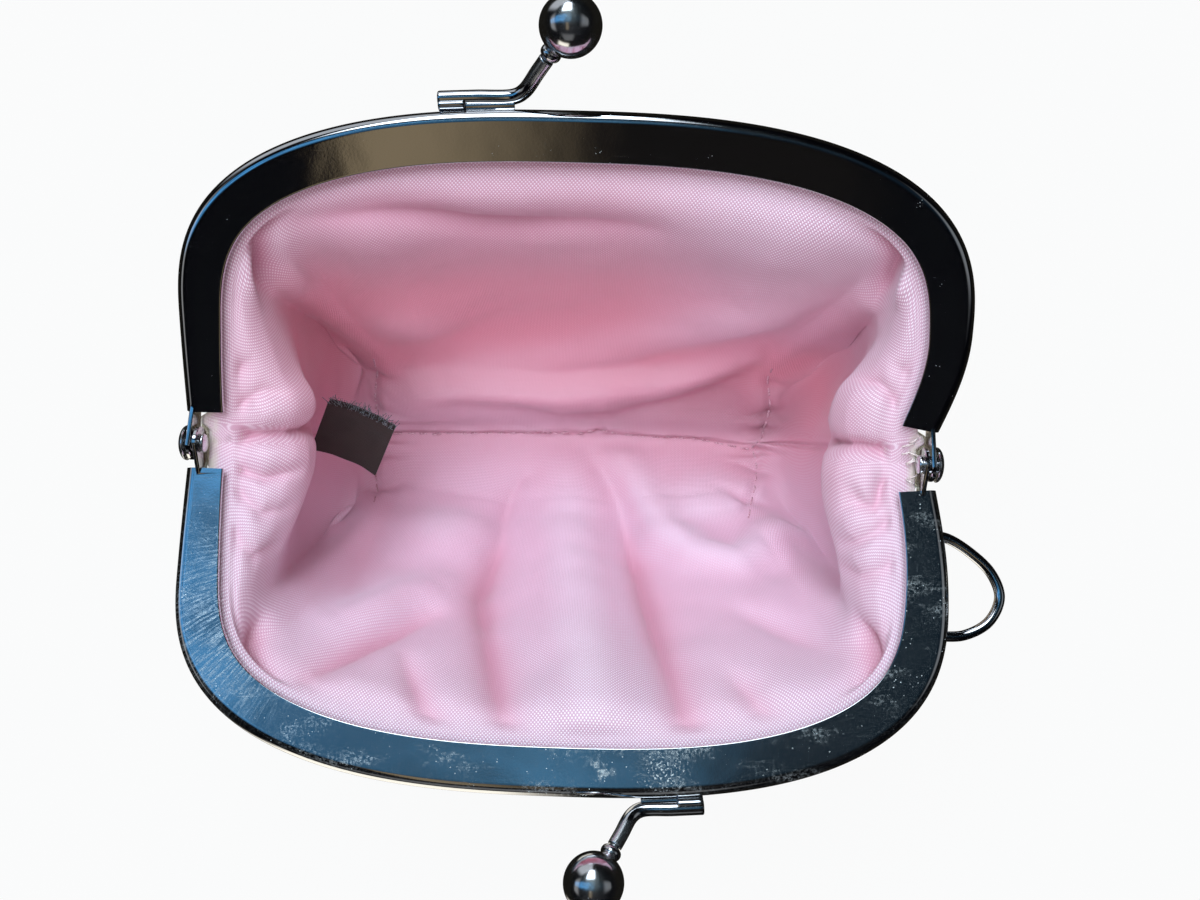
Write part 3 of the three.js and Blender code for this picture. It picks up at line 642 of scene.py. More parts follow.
# Materials
class Shader:
    """A node material, built by calls that take values or sockets."""

    def __init__(self, name, tree=None):
        if tree is None:
            self.material = bpy.data.materials.new(name)
            self.material.use_nodes = True
            tree = self.material.node_tree
        self.tree = tree
        self.tree.nodes.clear()

    def node(self, kind, inputs=(), out=0, **settings):
        made = self.tree.nodes.new(kind)
        for key, value in settings.items():
            setattr(made, key, value)
        for key, value in dict(inputs).items():
            socket = made.inputs[key]
            if isinstance(value, bpy.types.NodeSocket):
                self.tree.links.new(value, socket)
            else:
                socket.default_value = (*value, 1) if socket.type == "RGBA" else value
        return made.outputs[out] if made.outputs else made

    def math(self, operation, first, *others):
        """A math node, or a chain of them where there are more than two values."""
        for other in others or (0.0,):
            first = self.node("ShaderNodeMath", {0: first, 1: other}, operation=operation)
        return first

    def plus(self, *values):
        return self.math("ADD", *values)

    def times(self, *values):
        return self.math("MULTIPLY", *values)

    def most(self, *values):
        return self.math("MAXIMUM", *values)

    def size(self, value):
        return self.math("ABSOLUTE", value)

    def vector(self, operation, a, b, out=0):
        return self.node("ShaderNodeVectorMath", {0: a, 1: b}, out=out, operation=operation)

    def away(self, place, at):
        """Distance in metres from a point given in millimetres."""
        return self.vector("DISTANCE", place, [c * MM for c in at], out=1)

    def span(self, value, low, high, to_low=0.0, to_high=1.0):
        inputs = {"Value": value, "From Min": low, "From Max": high, "To Min": to_low, "To Max": to_high}
        return self.node("ShaderNodeMapRange", inputs, interpolation_type="SMOOTHSTEP")

    def mix(self, share, a, b):
        inputs = {"Factor": share, 6: a, 7: b}
        return self.node("ShaderNodeMix", inputs, out=2, data_type="RGBA")

    def noise(self, vector, scale, detail=3.0, roughness=0.55):
        inputs = {"Vector": vector, "Scale": scale, "Detail": detail, "Roughness": roughness}
        return self.node("ShaderNodeTexNoise", inputs)

    def stretched_noise(self, vector, scale, detail=2.0, roughness=0.55):
        mapped = self.node("ShaderNodeMapping", {"Vector": vector, "Scale": scale})
        return self.noise(mapped, 1.0, detail, roughness)

    def bump(self, height, strength, distance):
        return self.node("ShaderNodeBump", {"Height": height, "Strength": strength, "Distance": distance})

    def place(self, output="Object"):
        return self.tree.nodes.new("ShaderNodeTexCoord").outputs[output]

    def parts(self, vector):
        made = self.tree.nodes.new("ShaderNodeSeparateXYZ")
        self.tree.links.new(vector, made.inputs[0])
        return made.outputs

    def surface(self, inputs):
        principled = self.node("ShaderNodeBsdfPrincipled", inputs)
        self.node("ShaderNodeOutputMaterial", {"Surface": principled})
        return self.material


def cloth_weave(s, thread, wobble):
    """Plain weave from the cloth's flat coordinates: over (1) or under (-1), and the yarns' height."""
    flat = s.node("ShaderNodeUVMap", uv_map="Cloth")
    drift = s.vector("MULTIPLY", s.noise(flat, 0.35, 2.0), (wobble,) * 3)
    x, y, _ = s.parts(s.vector("ADD", flat, drift))
    warp, weft = (s.math("SINE", s.times(way, math.pi / thread)) for way in (x, y))
    over = s.times(warp, weft)
    return over, s.size(over)


def lining_material():
    s = Shader("lining_cloth")
    over, yarn = cloth_weave(s, LINING_YARN, 0.08)
    place = s.place()
    x, y, z = s.parts(place)
    # Painted light: strong pink at the back, in shade, paler at the lit front and on a painted sheen high on
    # the right; painted yarn glints, whiter on a darker ground, at the mouth
    painted_light = s.span(s.plus(y, s.times(s.noise(place, 55.0), 0.012)), 0.022, -0.010)
    # A painted sheen high on the right side
    right_sheen = s.times(s.span(x, 0.004, 0.026, 0.0, 0.6), s.span(z, 0.012, 0.030))
    painted_light = s.most(painted_light, right_sheen)
    pink = s.mix(painted_light, (0.69, 0.215, 0.275), (0.66, 0.36, 0.48))
    light = s.mix(painted_light, (0.77, 0.40, 0.49), (0.74, 0.58, 0.69))
    mouth = s.times(s.span(z, 0.036, 0.060), 0.8)
    pale = s.most(painted_light, s.span(s.size(x), 0.030, 0.042))
    pink = s.mix(mouth, pink, s.mix(pale, (0.40, 0.20, 0.27), (0.44, 0.26, 0.34)))
    light = s.mix(mouth, light, s.mix(pale, (0.66, 0.55, 0.62), (0.78, 0.70, 0.76)))
    # The lighter yarn dots are a painted sheen, stronger the higher the cloth lies
    dots = s.times(s.span(over, 0.0, 0.7), s.span(z, 0.010, 0.056, 0.4, 0.95))
    colour = s.mix(dots, pink, light)
    # Painted shade deepens the colour in the valleys, a painted highlight lightens the ridges, and a painted
    # shadow dulls the strip behind the base seam
    fold = s.node("ShaderNodeAttribute", out=2, attribute_name="Fold")
    valley = s.span(fold, 0.4, -2.6, 0.0, 0.75)
    colour = s.mix(valley, colour, s.mix(0.8, colour, (0.62, 0.24, 0.34)))
    colour = s.mix(s.span(fold, -1.2, -3.4, 0.0, 0.6), colour, (0.42, 0.14, 0.20))
    colour = s.mix(s.span(fold, 0.8, 3.2, 0.0, 0.45), colour, light)
    # Painted shadow under the back roll on the strip behind the base seam, darker to the right
    roll_shadow = s.times(s.span(z, 0.015, 0.003, 0.0, 0.7), s.span(y, -0.001, 0.003))
    roll_shadow_colour = s.mix(s.span(x, -0.010, 0.014), (0.38, 0.18, 0.25), (0.27, 0.09, 0.13))
    colour = s.mix(roll_shadow, colour, roll_shadow_colour)
    # Painted shade in the gaps between the yarns
    colour = s.mix(s.span(yarn, 0.0, 0.22), s.mix(0.45, colour, (0.55, 0.16, 0.27)), colour)
    # Raw edges in the hinge gaps, and stains
    wide = s.span(s.size(s.plus(x, 0.0008)), 0.0470, 0.0484)
    between = s.span(s.size(y), 0.0062, 0.0042)
    patchy = s.span(s.noise(place, 500.0), 0.35, 0.6, 0.3, 1.0)
    colour = s.mix(s.times(wide, between, patchy), colour, (0.62, 0.48, 0.42))
    for at, size in LINING_STAINS:
        ragged = s.plus(s.away(place, at), s.times(s.noise(place, 900.0, 2.0), size * 0.0008))
        stain = s.span(ragged, size * 0.0016, size * 0.0006, 0.0, 0.65)
        colour = s.mix(stain, colour, (0.30, 0.14, 0.17))
    return s.surface({
        "Base Color": colour, "Roughness": 0.48, "Normal": s.bump(yarn, 0.35, 0.0002),
        "Specular IOR Level": 0.8, "Sheen Weight": 0.25, "Sheen Roughness": 0.45,
        "Sheen Tint": (0.92, 0.94, 1.0),
    })


def shell_material():
    s = Shader("shell_cloth")
    over, yarn = cloth_weave(s, SHELL_YARN, 0.18)
    place = s.place()
    cloud = s.span(s.noise(place, 40.0, 4.0), 0.3, 0.7)
    cream = s.mix(cloud, (0.60, 0.49, 0.36), (0.70, 0.60, 0.46))
    colour = s.mix(s.span(over, -0.5, 0.6, 0.0, 0.6), cream, (0.78, 0.69, 0.55))
    # Painted shade in the gaps between the yarns
    colour = s.mix(s.span(yarn, 0.0, 0.25), s.mix(0.5, colour, (0.34, 0.26, 0.17)), colour)
    _, _, z = s.parts(place)
    # Darker towards the bottom, in patches
    darker_low = s.times(s.span(z, 0.010, 0.0), s.span(s.noise(place, 120.0, 4.0), 0.4, 0.7, 0.0, 0.5))
    colour = s.mix(darker_low, colour, (0.36, 0.29, 0.21))
    return s.surface({
        "Base Color": colour, "Roughness": 0.88, "Normal": s.bump(yarn, 0.5, 0.0003),
        "Specular IOR Level": 0.2, "Sheen Weight": 0.2, "Sheen Roughness": 0.5,
    })


def label_material():
    s = Shader("label_cloth")
    over, yarn = cloth_weave(s, LABEL_YARN, 0.03)
    brown = s.mix(s.noise(s.place(), 300.0), (0.016, 0.008, 0.007), (0.038, 0.021, 0.019))
    colour = s.mix(s.span(over, 0.0, 0.8, 0.0, 0.5), brown, (0.070, 0.043, 0.040))
    return s.surface({
        "Base Color": colour, "Roughness": 0.72, "Normal": s.bump(yarn, 0.5, 0.0001),
        "Specular IOR Level": 0.3, "Sheen Weight": 0.15, "Sheen Roughness": 0.4,
    })


def thread_material(name, colour, dark):
    s = Shader(name)
    twist = s.stretched_noise(s.place(), (4000.0, 4000.0, 4000.0))
    tint = s.mix(s.span(twist, 0.35, 0.65), dark, colour)
    bump = s.bump(twist, 0.4, 0.0001)
    return s.surface({"Base Color": tint, "Roughness": 0.7, "Normal": bump, "Sheen Weight": 0.2})


def nickel_material(name, haze, flecks, polish=0.045, marks=False, rods=True):
    """Mirror nickel with hairlines, flecks and smears, the front half's worn marks and duller clasp rods."""
    s = Shader(name)
    place = s.place()
    smear = s.noise(s.vector("ADD", place, s.noise(place, 220.0, 2.0)), 150.0, 5.0, 0.65)
    grain = s.noise(place, 2600.0, 2.0)
    film = s.times(s.span(smear, 0.46, 0.72), s.span(grain, 0.4, 0.62, 0.25, 1.0), haze)
    scale, fewest, most = (1700.0, 0.48, 0.64) if marks else (2400.0, 0.58, 0.72)
    cells = s.node("ShaderNodeTexVoronoi", {"Vector": place, "Scale": scale, "Randomness": 1.0})
    fleck = s.times(s.span(cells, 0.16, 0.06), s.span(s.noise(place, 300.0), fewest, most))
    long_way = s.stretched_noise(place, (130.0, 4200.0, 900.0))
    cross_way = s.stretched_noise(place, (3600.0, 160.0, 900.0))
    hairlines = s.most(s.span(long_way, 0.70, 0.76), s.span(cross_way, 0.73, 0.79))
    if marks:
        film = s.most(film, front_marks(s, place, grain))
    rough = s.plus(polish, s.times(film, 0.5), s.times(hairlines, 0.08))
    rough = s.most(rough, s.times(fleck, 0.6))
    if rods:
        _, y, _ = s.parts(place)
        rough = s.most(rough, s.span(s.size(y), 0.0466, 0.0474, 0.0, 0.22))
    # Dust flecks and smears, whose teal tint is a painted reflection of the blue light
    dust_and_teal_reflection = s.most(s.times(fleck, flecks), s.times(film, 0.30))
    height = s.plus(s.times(hairlines, -0.5), grain, s.times(s.noise(place, 90.0, 2.0), 30.0))
    return s.surface({
        "Base Color": s.mix(dust_and_teal_reflection, (0.66, 0.67, 0.69), (0.62, 0.74, 0.80)),
        "Metallic": s.math("SUBTRACT", 1.0, dust_and_teal_reflection), "Roughness": rough, "Normal": s.bump(height, 0.02, 0.0001),
    })


def front_marks(s, place, grain):
    """Worn places of the front half: a brushed corner, a finger mark, a smear and a faint cloud."""
    def near(at, inner, outer):
        away = s.away(place, at)
        return away, s.span(away, outer * MM, inner * MM)

    specks = s.span(s.noise(place, 3400.0, 1.0), 0.52, 0.66)
    _, corner = near((-42, -23, 57), 5, 17)
    x, y, _ = s.parts(place)
    fan_x, fan_y = s.plus(x, 0.026), s.plus(y, 0.010)
    heading = s.times(s.math("ARCTAN2", fan_y, fan_x), 95.0)
    reach = s.times(s.math("SQRT", s.plus(s.times(fan_x, fan_x), s.times(fan_y, fan_y))), 260.0)
    strokes = s.noise(s.node("ShaderNodeCombineXYZ", {0: heading, 1: reach}), 1.0)
    brushed = s.times(s.span(strokes, 0.42, 0.68, 0.0, 0.6), corner, s.span(grain, 0.36, 0.60, 0.35, 1.0))
    away, spot = near((14.2, -40.6, 62.0), 1.0, 4.6)
    ridges = s.plus(s.times(away, 2 * math.pi / (0.6 * MM)), s.times(s.noise(place, 420.0, 2.0), 22.0))
    finger = s.times(s.span(s.math("SINE", ridges), -0.6, 0.8, 0.25, 1.0), specks, spot)
    _, spot = near((5.9, -40.9, 62.0), 0.2, 2.6)
    smear = s.times(s.span(s.noise(place, 520.0, 4.0, 0.7), 0.48, 0.66), spot)
    drift = s.stretched_noise(place, (110.0, 300.0, 150.0), 5.0, 0.7)
    cloud = s.times(s.span(drift, 0.50, 0.74, 0.0, 0.5), s.span(grain, 0.42, 0.62))
    return s.times(s.most(brushed, finger, smear, cloud), 0.8)


def floor_material():
    s = Shader("pale_floor")
    pale = s.mix(s.noise(s.place(), 30.0, 2.0), (0.925, 0.925, 0.925), (0.93, 0.93, 0.93))
    return s.surface({
        "Base Color": (0.02, 0.02, 0.02), "Roughness": 0.9, "Specular IOR Level": 0.0,
        "Emission Color": pale, "Emission Strength": 1.0,
    })


NICKEL = nickel_material("nickel", 0.012, 0.4)
RIVET_NICKEL = nickel_material("rivet_nickel", 0.1, 0.2, polish=0.2)
BALL_NICKEL = nickel_material("ball_nickel", 0.05, 0.2, polish=0.14, rods=False)
WORN_NICKEL = nickel_material("worn_nickel", 0.10, 0.5, polish=0.05, marks=True)
LINING = lining_material()
SHELL = shell_material()
LABEL = label_material()
PINK_THREAD = thread_material("pink_thread", (0.70, 0.40, 0.48), (0.44, 0.16, 0.22))
FRAY_THREAD = thread_material("fray_thread", (0.20, 0.21, 0.24), (0.014, 0.012, 0.016))
WHITE_THREAD = thread_material("white_thread", (0.74, 0.60, 0.58), (0.50, 0.36, 0.35))


# Frame halves
def channel_section(lip):
    """The C channel's section as (depth, level), with eased lip edges."""
    top, bottom = FACE_LEVEL, FACE_LEVEL - CHANNEL_DEPTH
    rim, inner = RIM_RADIUS, RIM_RADIUS - SHEET
    rim_end, lip_start = rim + EDGE_SUPPORT, lip - EDGE - EDGE_SUPPORT

    def arc(depth, level, radius, start, end, steps):
        angle = np.radians(np.linspace(start, end, steps + 1))
        return list(zip(depth + radius * np.cos(angle), level + radius * np.sin(angle)))

    points = arc(rim, top - rim, rim, 180, 90, 14)
    points += [(rim_end, top), (lip_start, top)]
    points += arc(lip - EDGE, top - EDGE, EDGE, 90, 0, 4)
    points += arc(lip - EDGE, top - SHEET + EDGE, EDGE, 0, -90, 4)
    points += [(lip_start, top - SHEET), (rim_end, top - SHEET)]
    points += arc(rim, top - rim, inner, 90, 180, 8)
    points += arc(rim, bottom + rim, inner, 180, 270, 8)
    points += [(rim_end, bottom + SHEET), (lip_start, bottom + SHEET)]
    points += arc(lip - EDGE, bottom + SHEET - EDGE, EDGE, 90, 0, 4)
    points += arc(lip - EDGE, bottom + EDGE, EDGE, 0, -90, 4)
    points += [(lip_start, bottom), (rim_end, bottom)]
    points += arc(rim, bottom + rim, rim, 270, 180, 14)
    return np.array(points)


def channel_mesh(half):
    margin = half["cut"] / half["length"]
    rings = []
    for share in margin + (1 - 2 * margin) * np.arange(RIM_STATIONS + 1) / RIM_STATIONS:
        section = channel_section(float(lip_width(half, share)))
        u, v = rim_point(half, np.full(len(section), share), section[:, 0])
        rings.append(to_purse(half, u, v, section[:, 1]))
    return capped_rings(rings)


def ear_mesh(name, sign, end):
    """A hinge ear: a tapered plate with a round end, stepped in from the rim."""
    half = HALVES[name]
    root = half["cut"] + EAR_RUN
    top, bottom = FACE_LEVEL - EAR_SHOULDER, FACE_LEVEL - CHANNEL_DEPTH + EAR_SHOULDER
    angle = np.radians(np.linspace(80, 260, 40))
    outline = [(root, bottom), (root, top)]
    outline += list(zip(EAR_RADIUS * np.cos(angle), EAR_RADIUS * np.sin(angle)))
    outline = np.array(outline)
    middle = np.array([outline[:, 0].mean(), outline[:, 1].mean()])
    outside = end - EAR_DEPTH[name]
    rings = []
    for depth, ease in ((0, EAR_EASE), (EAR_EASE, 0), (EAR_SHEET - EAR_EASE, 0), (EAR_SHEET, EAR_EASE)):
        inset = outline - unit(outline - middle) * ease
        rings.append(to_purse(half, np.full(len(inset), sign * (outside - depth)), inset[:, 0], inset[:, 1]))
    return capped_rings(rings)


def box_mesh(half, low, high):
    corners = [(x, y, z) for x in (low[0], high[0]) for y in (low[1], high[1]) for z in (low[2], high[2])]
    points = np.array([to_purse(half, *c) for c in corners])
    return points, [(0, 1, 3, 2), (4, 6, 7, 5), (0, 4, 5, 1), (2, 3, 7, 6), (0, 2, 6, 4), (1, 5, 7, 3)]


def rim_at(name, u):
    """Where a clasp rod's middle lies beside the rim."""
    half = HALVES[name]
    share = 0.5 - u / half["length"]
    point = rim_point(half, np.array(share), np.array(-ROD_STANDOFF - ROD_RADIUS))
    return np.array([float(point[0]), float(point[1]), MID_LEVEL])


def clasp_route(name):
    clasp = CLASPS[name]
    ball = np.array([clasp["ball"], clasp["reach"], BALL_LEVEL])
    corner = rim_at(name, clasp["bend"] + BEND_RUN[0])
    rise = unit(ball - corner)
    end = ball - rise * (BALL_RADIUS + COLLAR[1] + GAP)
    return rim_at(name, clasp["start"]), rim_at(name, clasp["bend"]), corner, rise, end, ball


def frame_half(name, material):
    """One half: channel, ears, clasp rod with its foot and solder, drilled for the rivets and the loop."""
    half = HALVES[name]
    obj = closed_object(f"frame_{name}_metal", *channel_mesh(half), material)

    def tube(form, points, radius, operation="UNION", **shape):
        path = to_purse(half, *np.asarray(points).T)
        combine(obj, sweep(path, radius, SIDES[form], **shape), operation)

    for sign, (end, _) in ((1, half["plus"]), (-1, half["minus"])):
        combine(obj, ear_mesh(name, sign, end), "UNION")
        reach = EAR_DEPTH[name] + EAR_SHEET - SHEET / 2
        middle = sign * (end - SHEET / 2 - reach / 2)
        low = (middle - reach / 2, half["cut"] + EAR_TUCK, FACE_LEVEL - CHANNEL_DEPTH + EAR_SHOULDER)
        high = (middle + reach / 2, half["cut"] + EAR_RUN - EAR_TUCK, FACE_LEVEL - EAR_SHOULDER)
        combine(obj, box_mesh(half, low, high), "UNION")
    start, bend, corner, rise, end, _ = clasp_route(name)
    run = bend - start
    route = [start, start + run / 2, bend, corner + rise * BEND_RUN[1], end + (corner - end) / 3, end]
    tube("rod", catmull(route, np.linspace(0, 1, POINTS["rod"])), ROD_RADIUS, round_ends=0.25)
    tube("tenon", [end - rise * TENON[0], end + rise * TENON[1]], TENON[0])
    along = run / np.linalg.norm(run)
    below = start + np.array([along[1], -along[0], 0.0]) * ROD_RADIUS
    foot = [below + along * x for x in np.linspace(0.1, FOOT[0], 12)]
    tube("foot", foot, FOOT[1] / 2, squash=FOOT[2] / FOOT[1], round_ends=0.3)
    steps = np.linspace(FOOT[0] - 0.6, np.linalg.norm(run), 40)
    swell = SOLDER[0] / 2 + 0.02 * np.sin(steps * 0.9)
    tube("solder", below + along * steps[:, None], swell, squash=SOLDER[1] / SOLDER[0])
    for hole in (half["plus"][0], -half["minus"][0]):
        pin = [(hole - DRILL["rivet"], 0, 0), (hole + DRILL["rivet"], 0, 0)]
        tube("hole", pin, RIVET_RADIUS + GAP, "DIFFERENCE")
    if name == "front":
        for out, leg in (LOOP_ROUTE[1], LOOP_ROUTE[-1]):
            pin = [(-out - DRILL["loop"], leg, MID_LEVEL), (-out + DRILL["loop"], leg, MID_LEVEL)]
            tube("hole", pin, LOOP_HOLE, "DIFFERENCE")
    obj.data.materials.clear()
    obj.data.materials.append(material)
    finish_piece(obj, f"frame_{name}", SHARP["frame"])


def clasp_ball(name, material):
    """A ball and its collar, bored for the rod's tenon."""
    bore = TENON[0] + GAP
    floor = -BALL_RADIUS - COLLAR[1]
    depth = floor + TENON[1] + GAP
    outline = [(0, depth), (bore, depth), (bore, floor + 0.1), (bore + 0.1, floor)]
    for a in np.radians(np.linspace(-80, 80, 15)):
        swell = COLLAR[0] - COLLAR_WAIST + COLLAR_SWELL * math.cos(a)
        outline.append((swell, floor + COLLAR[1] * 0.5 * (1 + math.sin(a) * 0.92)))
    neck = math.asin((COLLAR[0] - 0.2) / BALL_RADIUS)
    for a in np.linspace(neck, math.pi, 48):
        outline.append((BALL_RADIUS * math.sin(a), -BALL_RADIUS * math.cos(a)))
    outline[-1] = (0, BALL_RADIUS)
    points, faces = lathe(outline, SIDES["ball"])
    *_, rise, _, ball = clasp_route(name)
    half = HALVES[name]
    centre = to_purse(half, *ball)
    axis = to_purse(half, *(ball + rise)) - centre
    obj = closed_object(f"ball_{name}_metal", turned(points, axis, centre), faces, material)
    finish_piece(obj, f"clasp_ball_{name}", SHARP["ball"])


def hinge_rivet(side, end, heading):
    """A rivet with a domed head outside and a small tail inside."""
    inner = EAR_DEPTH["front"] + EAR_SHEET + GAP
    outer = GAP - EAR_DEPTH["back"]
    head, dome = RIVET_HEAD
    tail, tail_dome = RIVET_TAIL
    outline = [(0, -inner - tail_dome), (tail * 0.4, -inner - tail_dome)]
    for a in np.radians(np.linspace(60, 0, 7)):
        outline.append((tail * (0.5 + 0.5 * math.cos(a) ** 0.5), -inner - tail_dome * 0.9 * math.sin(a)))
    outline += [(RIVET_RADIUS, -inner), (RIVET_RADIUS, outer)]
    outline += [(head - RIVET_EDGE, outer), (head, outer + RIVET_EDGE)]
    for a in np.radians(np.linspace(4, 88, 22)):
        height = outer + RIVET_EDGE + (dome - RIVET_EDGE) * math.sin(a)
        outline.append((head * math.cos(a) ** 0.9, height))
    outline.append((0, outer + dome))
    points, faces = lathe(outline, SIDES["rivet"])
    points = turned(points, (heading, 0, 0), (heading * end, 0, HINGE_HEIGHT))
    obj = closed_object(f"rivet_{side}_metal", points, faces, RIVET_NICKEL)
    finish_piece(obj, f"hinge_rivet_{side}", SHARP["rivet"])


def strap_loop():
    route = [(-out, along, MID_LEVEL) for out, along in LOOP_ROUTE]
    path = to_purse(HALVES["front"], *catmull(route, np.linspace(0, 1, POINTS["wire"])).T)
    obj = closed_object("loop_wire", *sweep(path, LOOP_WIRE, SIDES["wire"], round_ends=0.3), NICKEL)
    finish_piece(obj, "strap_loop", SHARP["wire"])


frame_half("back", NICKEL)
frame_half("front", WORN_NICKEL)
clasp_ball("back", BALL_NICKEL)
clasp_ball("front", BALL_NICKEL)
hinge_rivet("right", RIGHT_END, 1)
hinge_rivet("left", LEFT_END, -1)
strap_loop()


# Cloth bags
def flat_coordinates(levels, points):
    """Flat cloth coordinates at each grid point, for the wall of each panel and for the base."""
    count = points.shape[1]
    closed = np.concatenate([points, points[:, :1]], 1)
    steps = np.linalg.norm(np.diff(closed, axis=1), axis=-1)
    across = np.concatenate([np.zeros((len(levels), 1)), np.cumsum(steps, 1)], 1)
    drops = np.linalg.norm(np.diff(points, axis=0), axis=-1)
    down = np.concatenate([np.zeros((1, count)), np.cumsum(drops, 0)], 0)
    down = np.concatenate([down, down[:, :1]], 1)
    columns = np.arange(count)
    middles = across[:, np.where(columns < count // 2, count // 4, 3 * count // 4)]
    sides = (columns, columns + 1)
    wall = [np.stack([across[:, side] - middles, down[:, side]], -1) for side in sides]
    foot = int(np.argmin(np.abs(levels - 1)))
    base_v = down[foot, count // 4] + BASE["depth"] - np.abs(closed[..., 1])
    return wall, np.stack([closed[..., 0], base_v], -1), foot


def hinge_flare(points, level, shell):
    """Raw edges in the hinge gaps: the shell's stands out under the ears, the lining's beside them."""
    x, y = points[..., 0], points[..., 1]
    cut = np.where(y > 0, HALVES["back"]["cut"], HALVES["front"]["cut"])
    inside = smooth((cut + 0.1 - np.abs(y)) / 0.7)
    reach = smooth(-level / 0.8) * inside * (1 if shell else smooth((y - 2.1) / 0.6))
    out, down = (1.7, 1.1) if shell else (1.0, 0.0)
    return np.stack([np.sign(x) * out * reach, 0 * reach, -down * reach], -1)


def bag_levels(tucked, wall, base):
    """Levels of a bag's rows, by the number of rows of its tucked edge, its wall and its base."""
    rows = [np.linspace(-1, 0, tucked)[:-1], np.linspace(0, 1, wall)[:-1], np.linspace(1, LAST_LEVEL, base)]
    return np.concatenate(rows)


def signed_volume(obj):
    work = bmesh.new()
    work.from_mesh(obj.data)
    volume = work.calc_volume(signed=True)
    work.free()
    return volume


def cloth_bag(name, count, levels, inner, outer, raise_by, hang, material, lip_thinning=0.0):
    """A closed cloth bag between two distances inwards of the middle surface, raised by its folds."""
    even = np.arange(count) / count
    turns = even - CLOSER_AT_HINGES * np.sin(4 * math.pi * even) / (4 * math.pi)
    level, turn = np.meshgrid(levels, turns, indexing="ij")
    middle = cloth_point(turn, level, hang)
    inward = cloth_inward(turn, level, hang)
    raised = raise_by(turn, level, middle)
    middle = middle + hinge_flare(middle, level, not hang)
    thick = inner - lip_thinning * (1 - smooth((level - 0.02) / 0.14))
    face_in = middle + inward * (thick + raised)[..., None]
    face_out = middle + inward * (outer + raised)[..., None]
    tip = np.array([BASE["centre"], 0, BASE_LEVEL])
    lift = raise_by(np.array([0.0]), np.array([2.0]), tip[None])[0]
    poles = np.array([tip + (0, 0, inner + lift), tip + (0, 0, outer + lift)])
    points = np.vstack([face_in[::-1].reshape(-1, 3), face_out.reshape(-1, 3), poles])
    rows = len(levels)
    faces = ring_faces(2 * rows, count)
    wall, base, foot = flat_coordinates(levels, middle if hang else face_out)
    order = np.concatenate([np.arange(rows)[::-1], np.arange(rows)])
    uv = np.zeros((2 * rows - 1, count, 4, 2))
    for row, (a, b) in enumerate(zip(order[:-1], order[1:])):
        left, right = (base[:, :-1], base[:, 1:]) if max(a, b) > foot else wall
        for corner, flat in enumerate((left[a], right[a], right[b], left[b])):
            uv[row, :, corner] = flat
    loops = list(uv.reshape(-1, 2))
    first, last = len(points) - 2, len(points) - 1
    end = (2 * rows - 1) * count
    tip_uv = np.array([tip[0], base[foot, count // 4, 1] + BASE["depth"]])
    for j in range(count):
        k = (j + 1) % count
        faces.append((first, k, j))
        loops += [tip_uv, base[-1, j + 1], base[-1, j]]
        faces.append((last, end + j, end + k))
        loops += [tip_uv, base[-1, j], base[-1, j + 1]]
    obj = make_object(name, points, faces, material, uv=np.array(loops))
    heights = np.concatenate([raised[::-1].ravel(), raised.ravel(), [lift, lift]])
    obj.data.attributes.new("Fold", "FLOAT", "POINT").data.foreach_set("value", heights.astype(np.float32))
    if signed_volume(obj) < 0:
        obj.data.flip_normals()
    return obj, face_in


lining_bag, lining_face = cloth_bag(
    "lining_bag", LINING_TURNS, bag_levels(7, 84, 16), CLOTH_GAP / 2 + LINING_WALL, CLOTH_GAP / 2,
    lining_raise, 1, LINING, LIP_THINNING,
)
finish_piece(lining_bag, "lining")
shell_bag, _ = cloth_bag(
    "shell_bag", SHELL_TURNS, bag_levels(6, 64, 10), -CLOTH_GAP / 2, -CLOTH_GAP / 2 - SHELL_WALL,
    shell_raise, 0, SHELL,
)
finish_piece(shell_bag, "outer_shell")


# Label
def label_tape():
    """A tape folded double: a hairpin section with its two plies parted at the cut edge."""
    length, height, ply, slit = LABEL_SIZE.values()
    across = np.linspace(0, 1, 26)
    opening = slit / 2 + 0.5 * smooth((across - 0.6) / 0.4)
    upper = [(height * (1 - s), o) for s, o in zip(1 - across, opening)]
    bend = [(-slit / 2 * math.sin(a), -slit / 2 * math.cos(a)) for a in np.linspace(0, math.pi, 9)[1:-1]]
    line = np.array([(h, -o) for h, o in upper[::-1]] + bend + upper)
    tangent = unit(np.gradient(line, axis=0))
    normal = np.stack([-tangent[:, 1], tangent[:, 0]], 1)
    section = np.vstack([line + normal * ply / 2, (line - normal * ply / 2)[::-1]])
    count = len(section)
    widths = np.linspace(-0.5, 0.5, LABEL_COLUMNS) * length
    points, faces = capped_rings([np.column_stack([section, np.full(count, w)]) for w in widths])
    local = np.stack([points[:, 2], points[:, 0] - height / 2, points[:, 1]], -1)
    local[:, 2] += 0.9 * (local[:, 0] / (length / 2)) ** 2 + 0.10 * ripple(local, 5, 9) - 0.4
    turn = Matrix.Identity(3)
    for key, axis in (("heading", "Z"), ("slope", "Y"), ("tip", "X")):
        turn = turn @ Matrix.Rotation(math.radians(LABEL_PLACE[key]), 3, axis)
    placed = local @ np.array(turn).T + np.array(LABEL_PLACE["at"])
    run = run_lengths(line)
    flat_run = np.concatenate([run, run[::-1]])
    uv = [(points[i, 2], flat_run[i % count]) for face in faces for i in face]
    obj = closed_object("label_tape", placed, faces, LABEL, np.array(uv))
    finish_piece(obj, "label", SHARP["label"])
    return obj, placed.reshape(LABEL_COLUMNS, count, 3)


label_piece, label_grid = label_tape()


# Stitches, loose threads and frayed edges
def thread_piece(name, strands, radius, material, sides=6):
    """Many short threads in one piece."""
    points, faces, start = [], [], 0
    for strand in strands:
        tube, quads = sweep(strand, radius, sides)
        points.append(tube)
        faces += [tuple(i + start for i in f) for f in quads]
        start += len(tube)
    finish_piece(closed_object(name, np.vstack(points), faces, material), None)


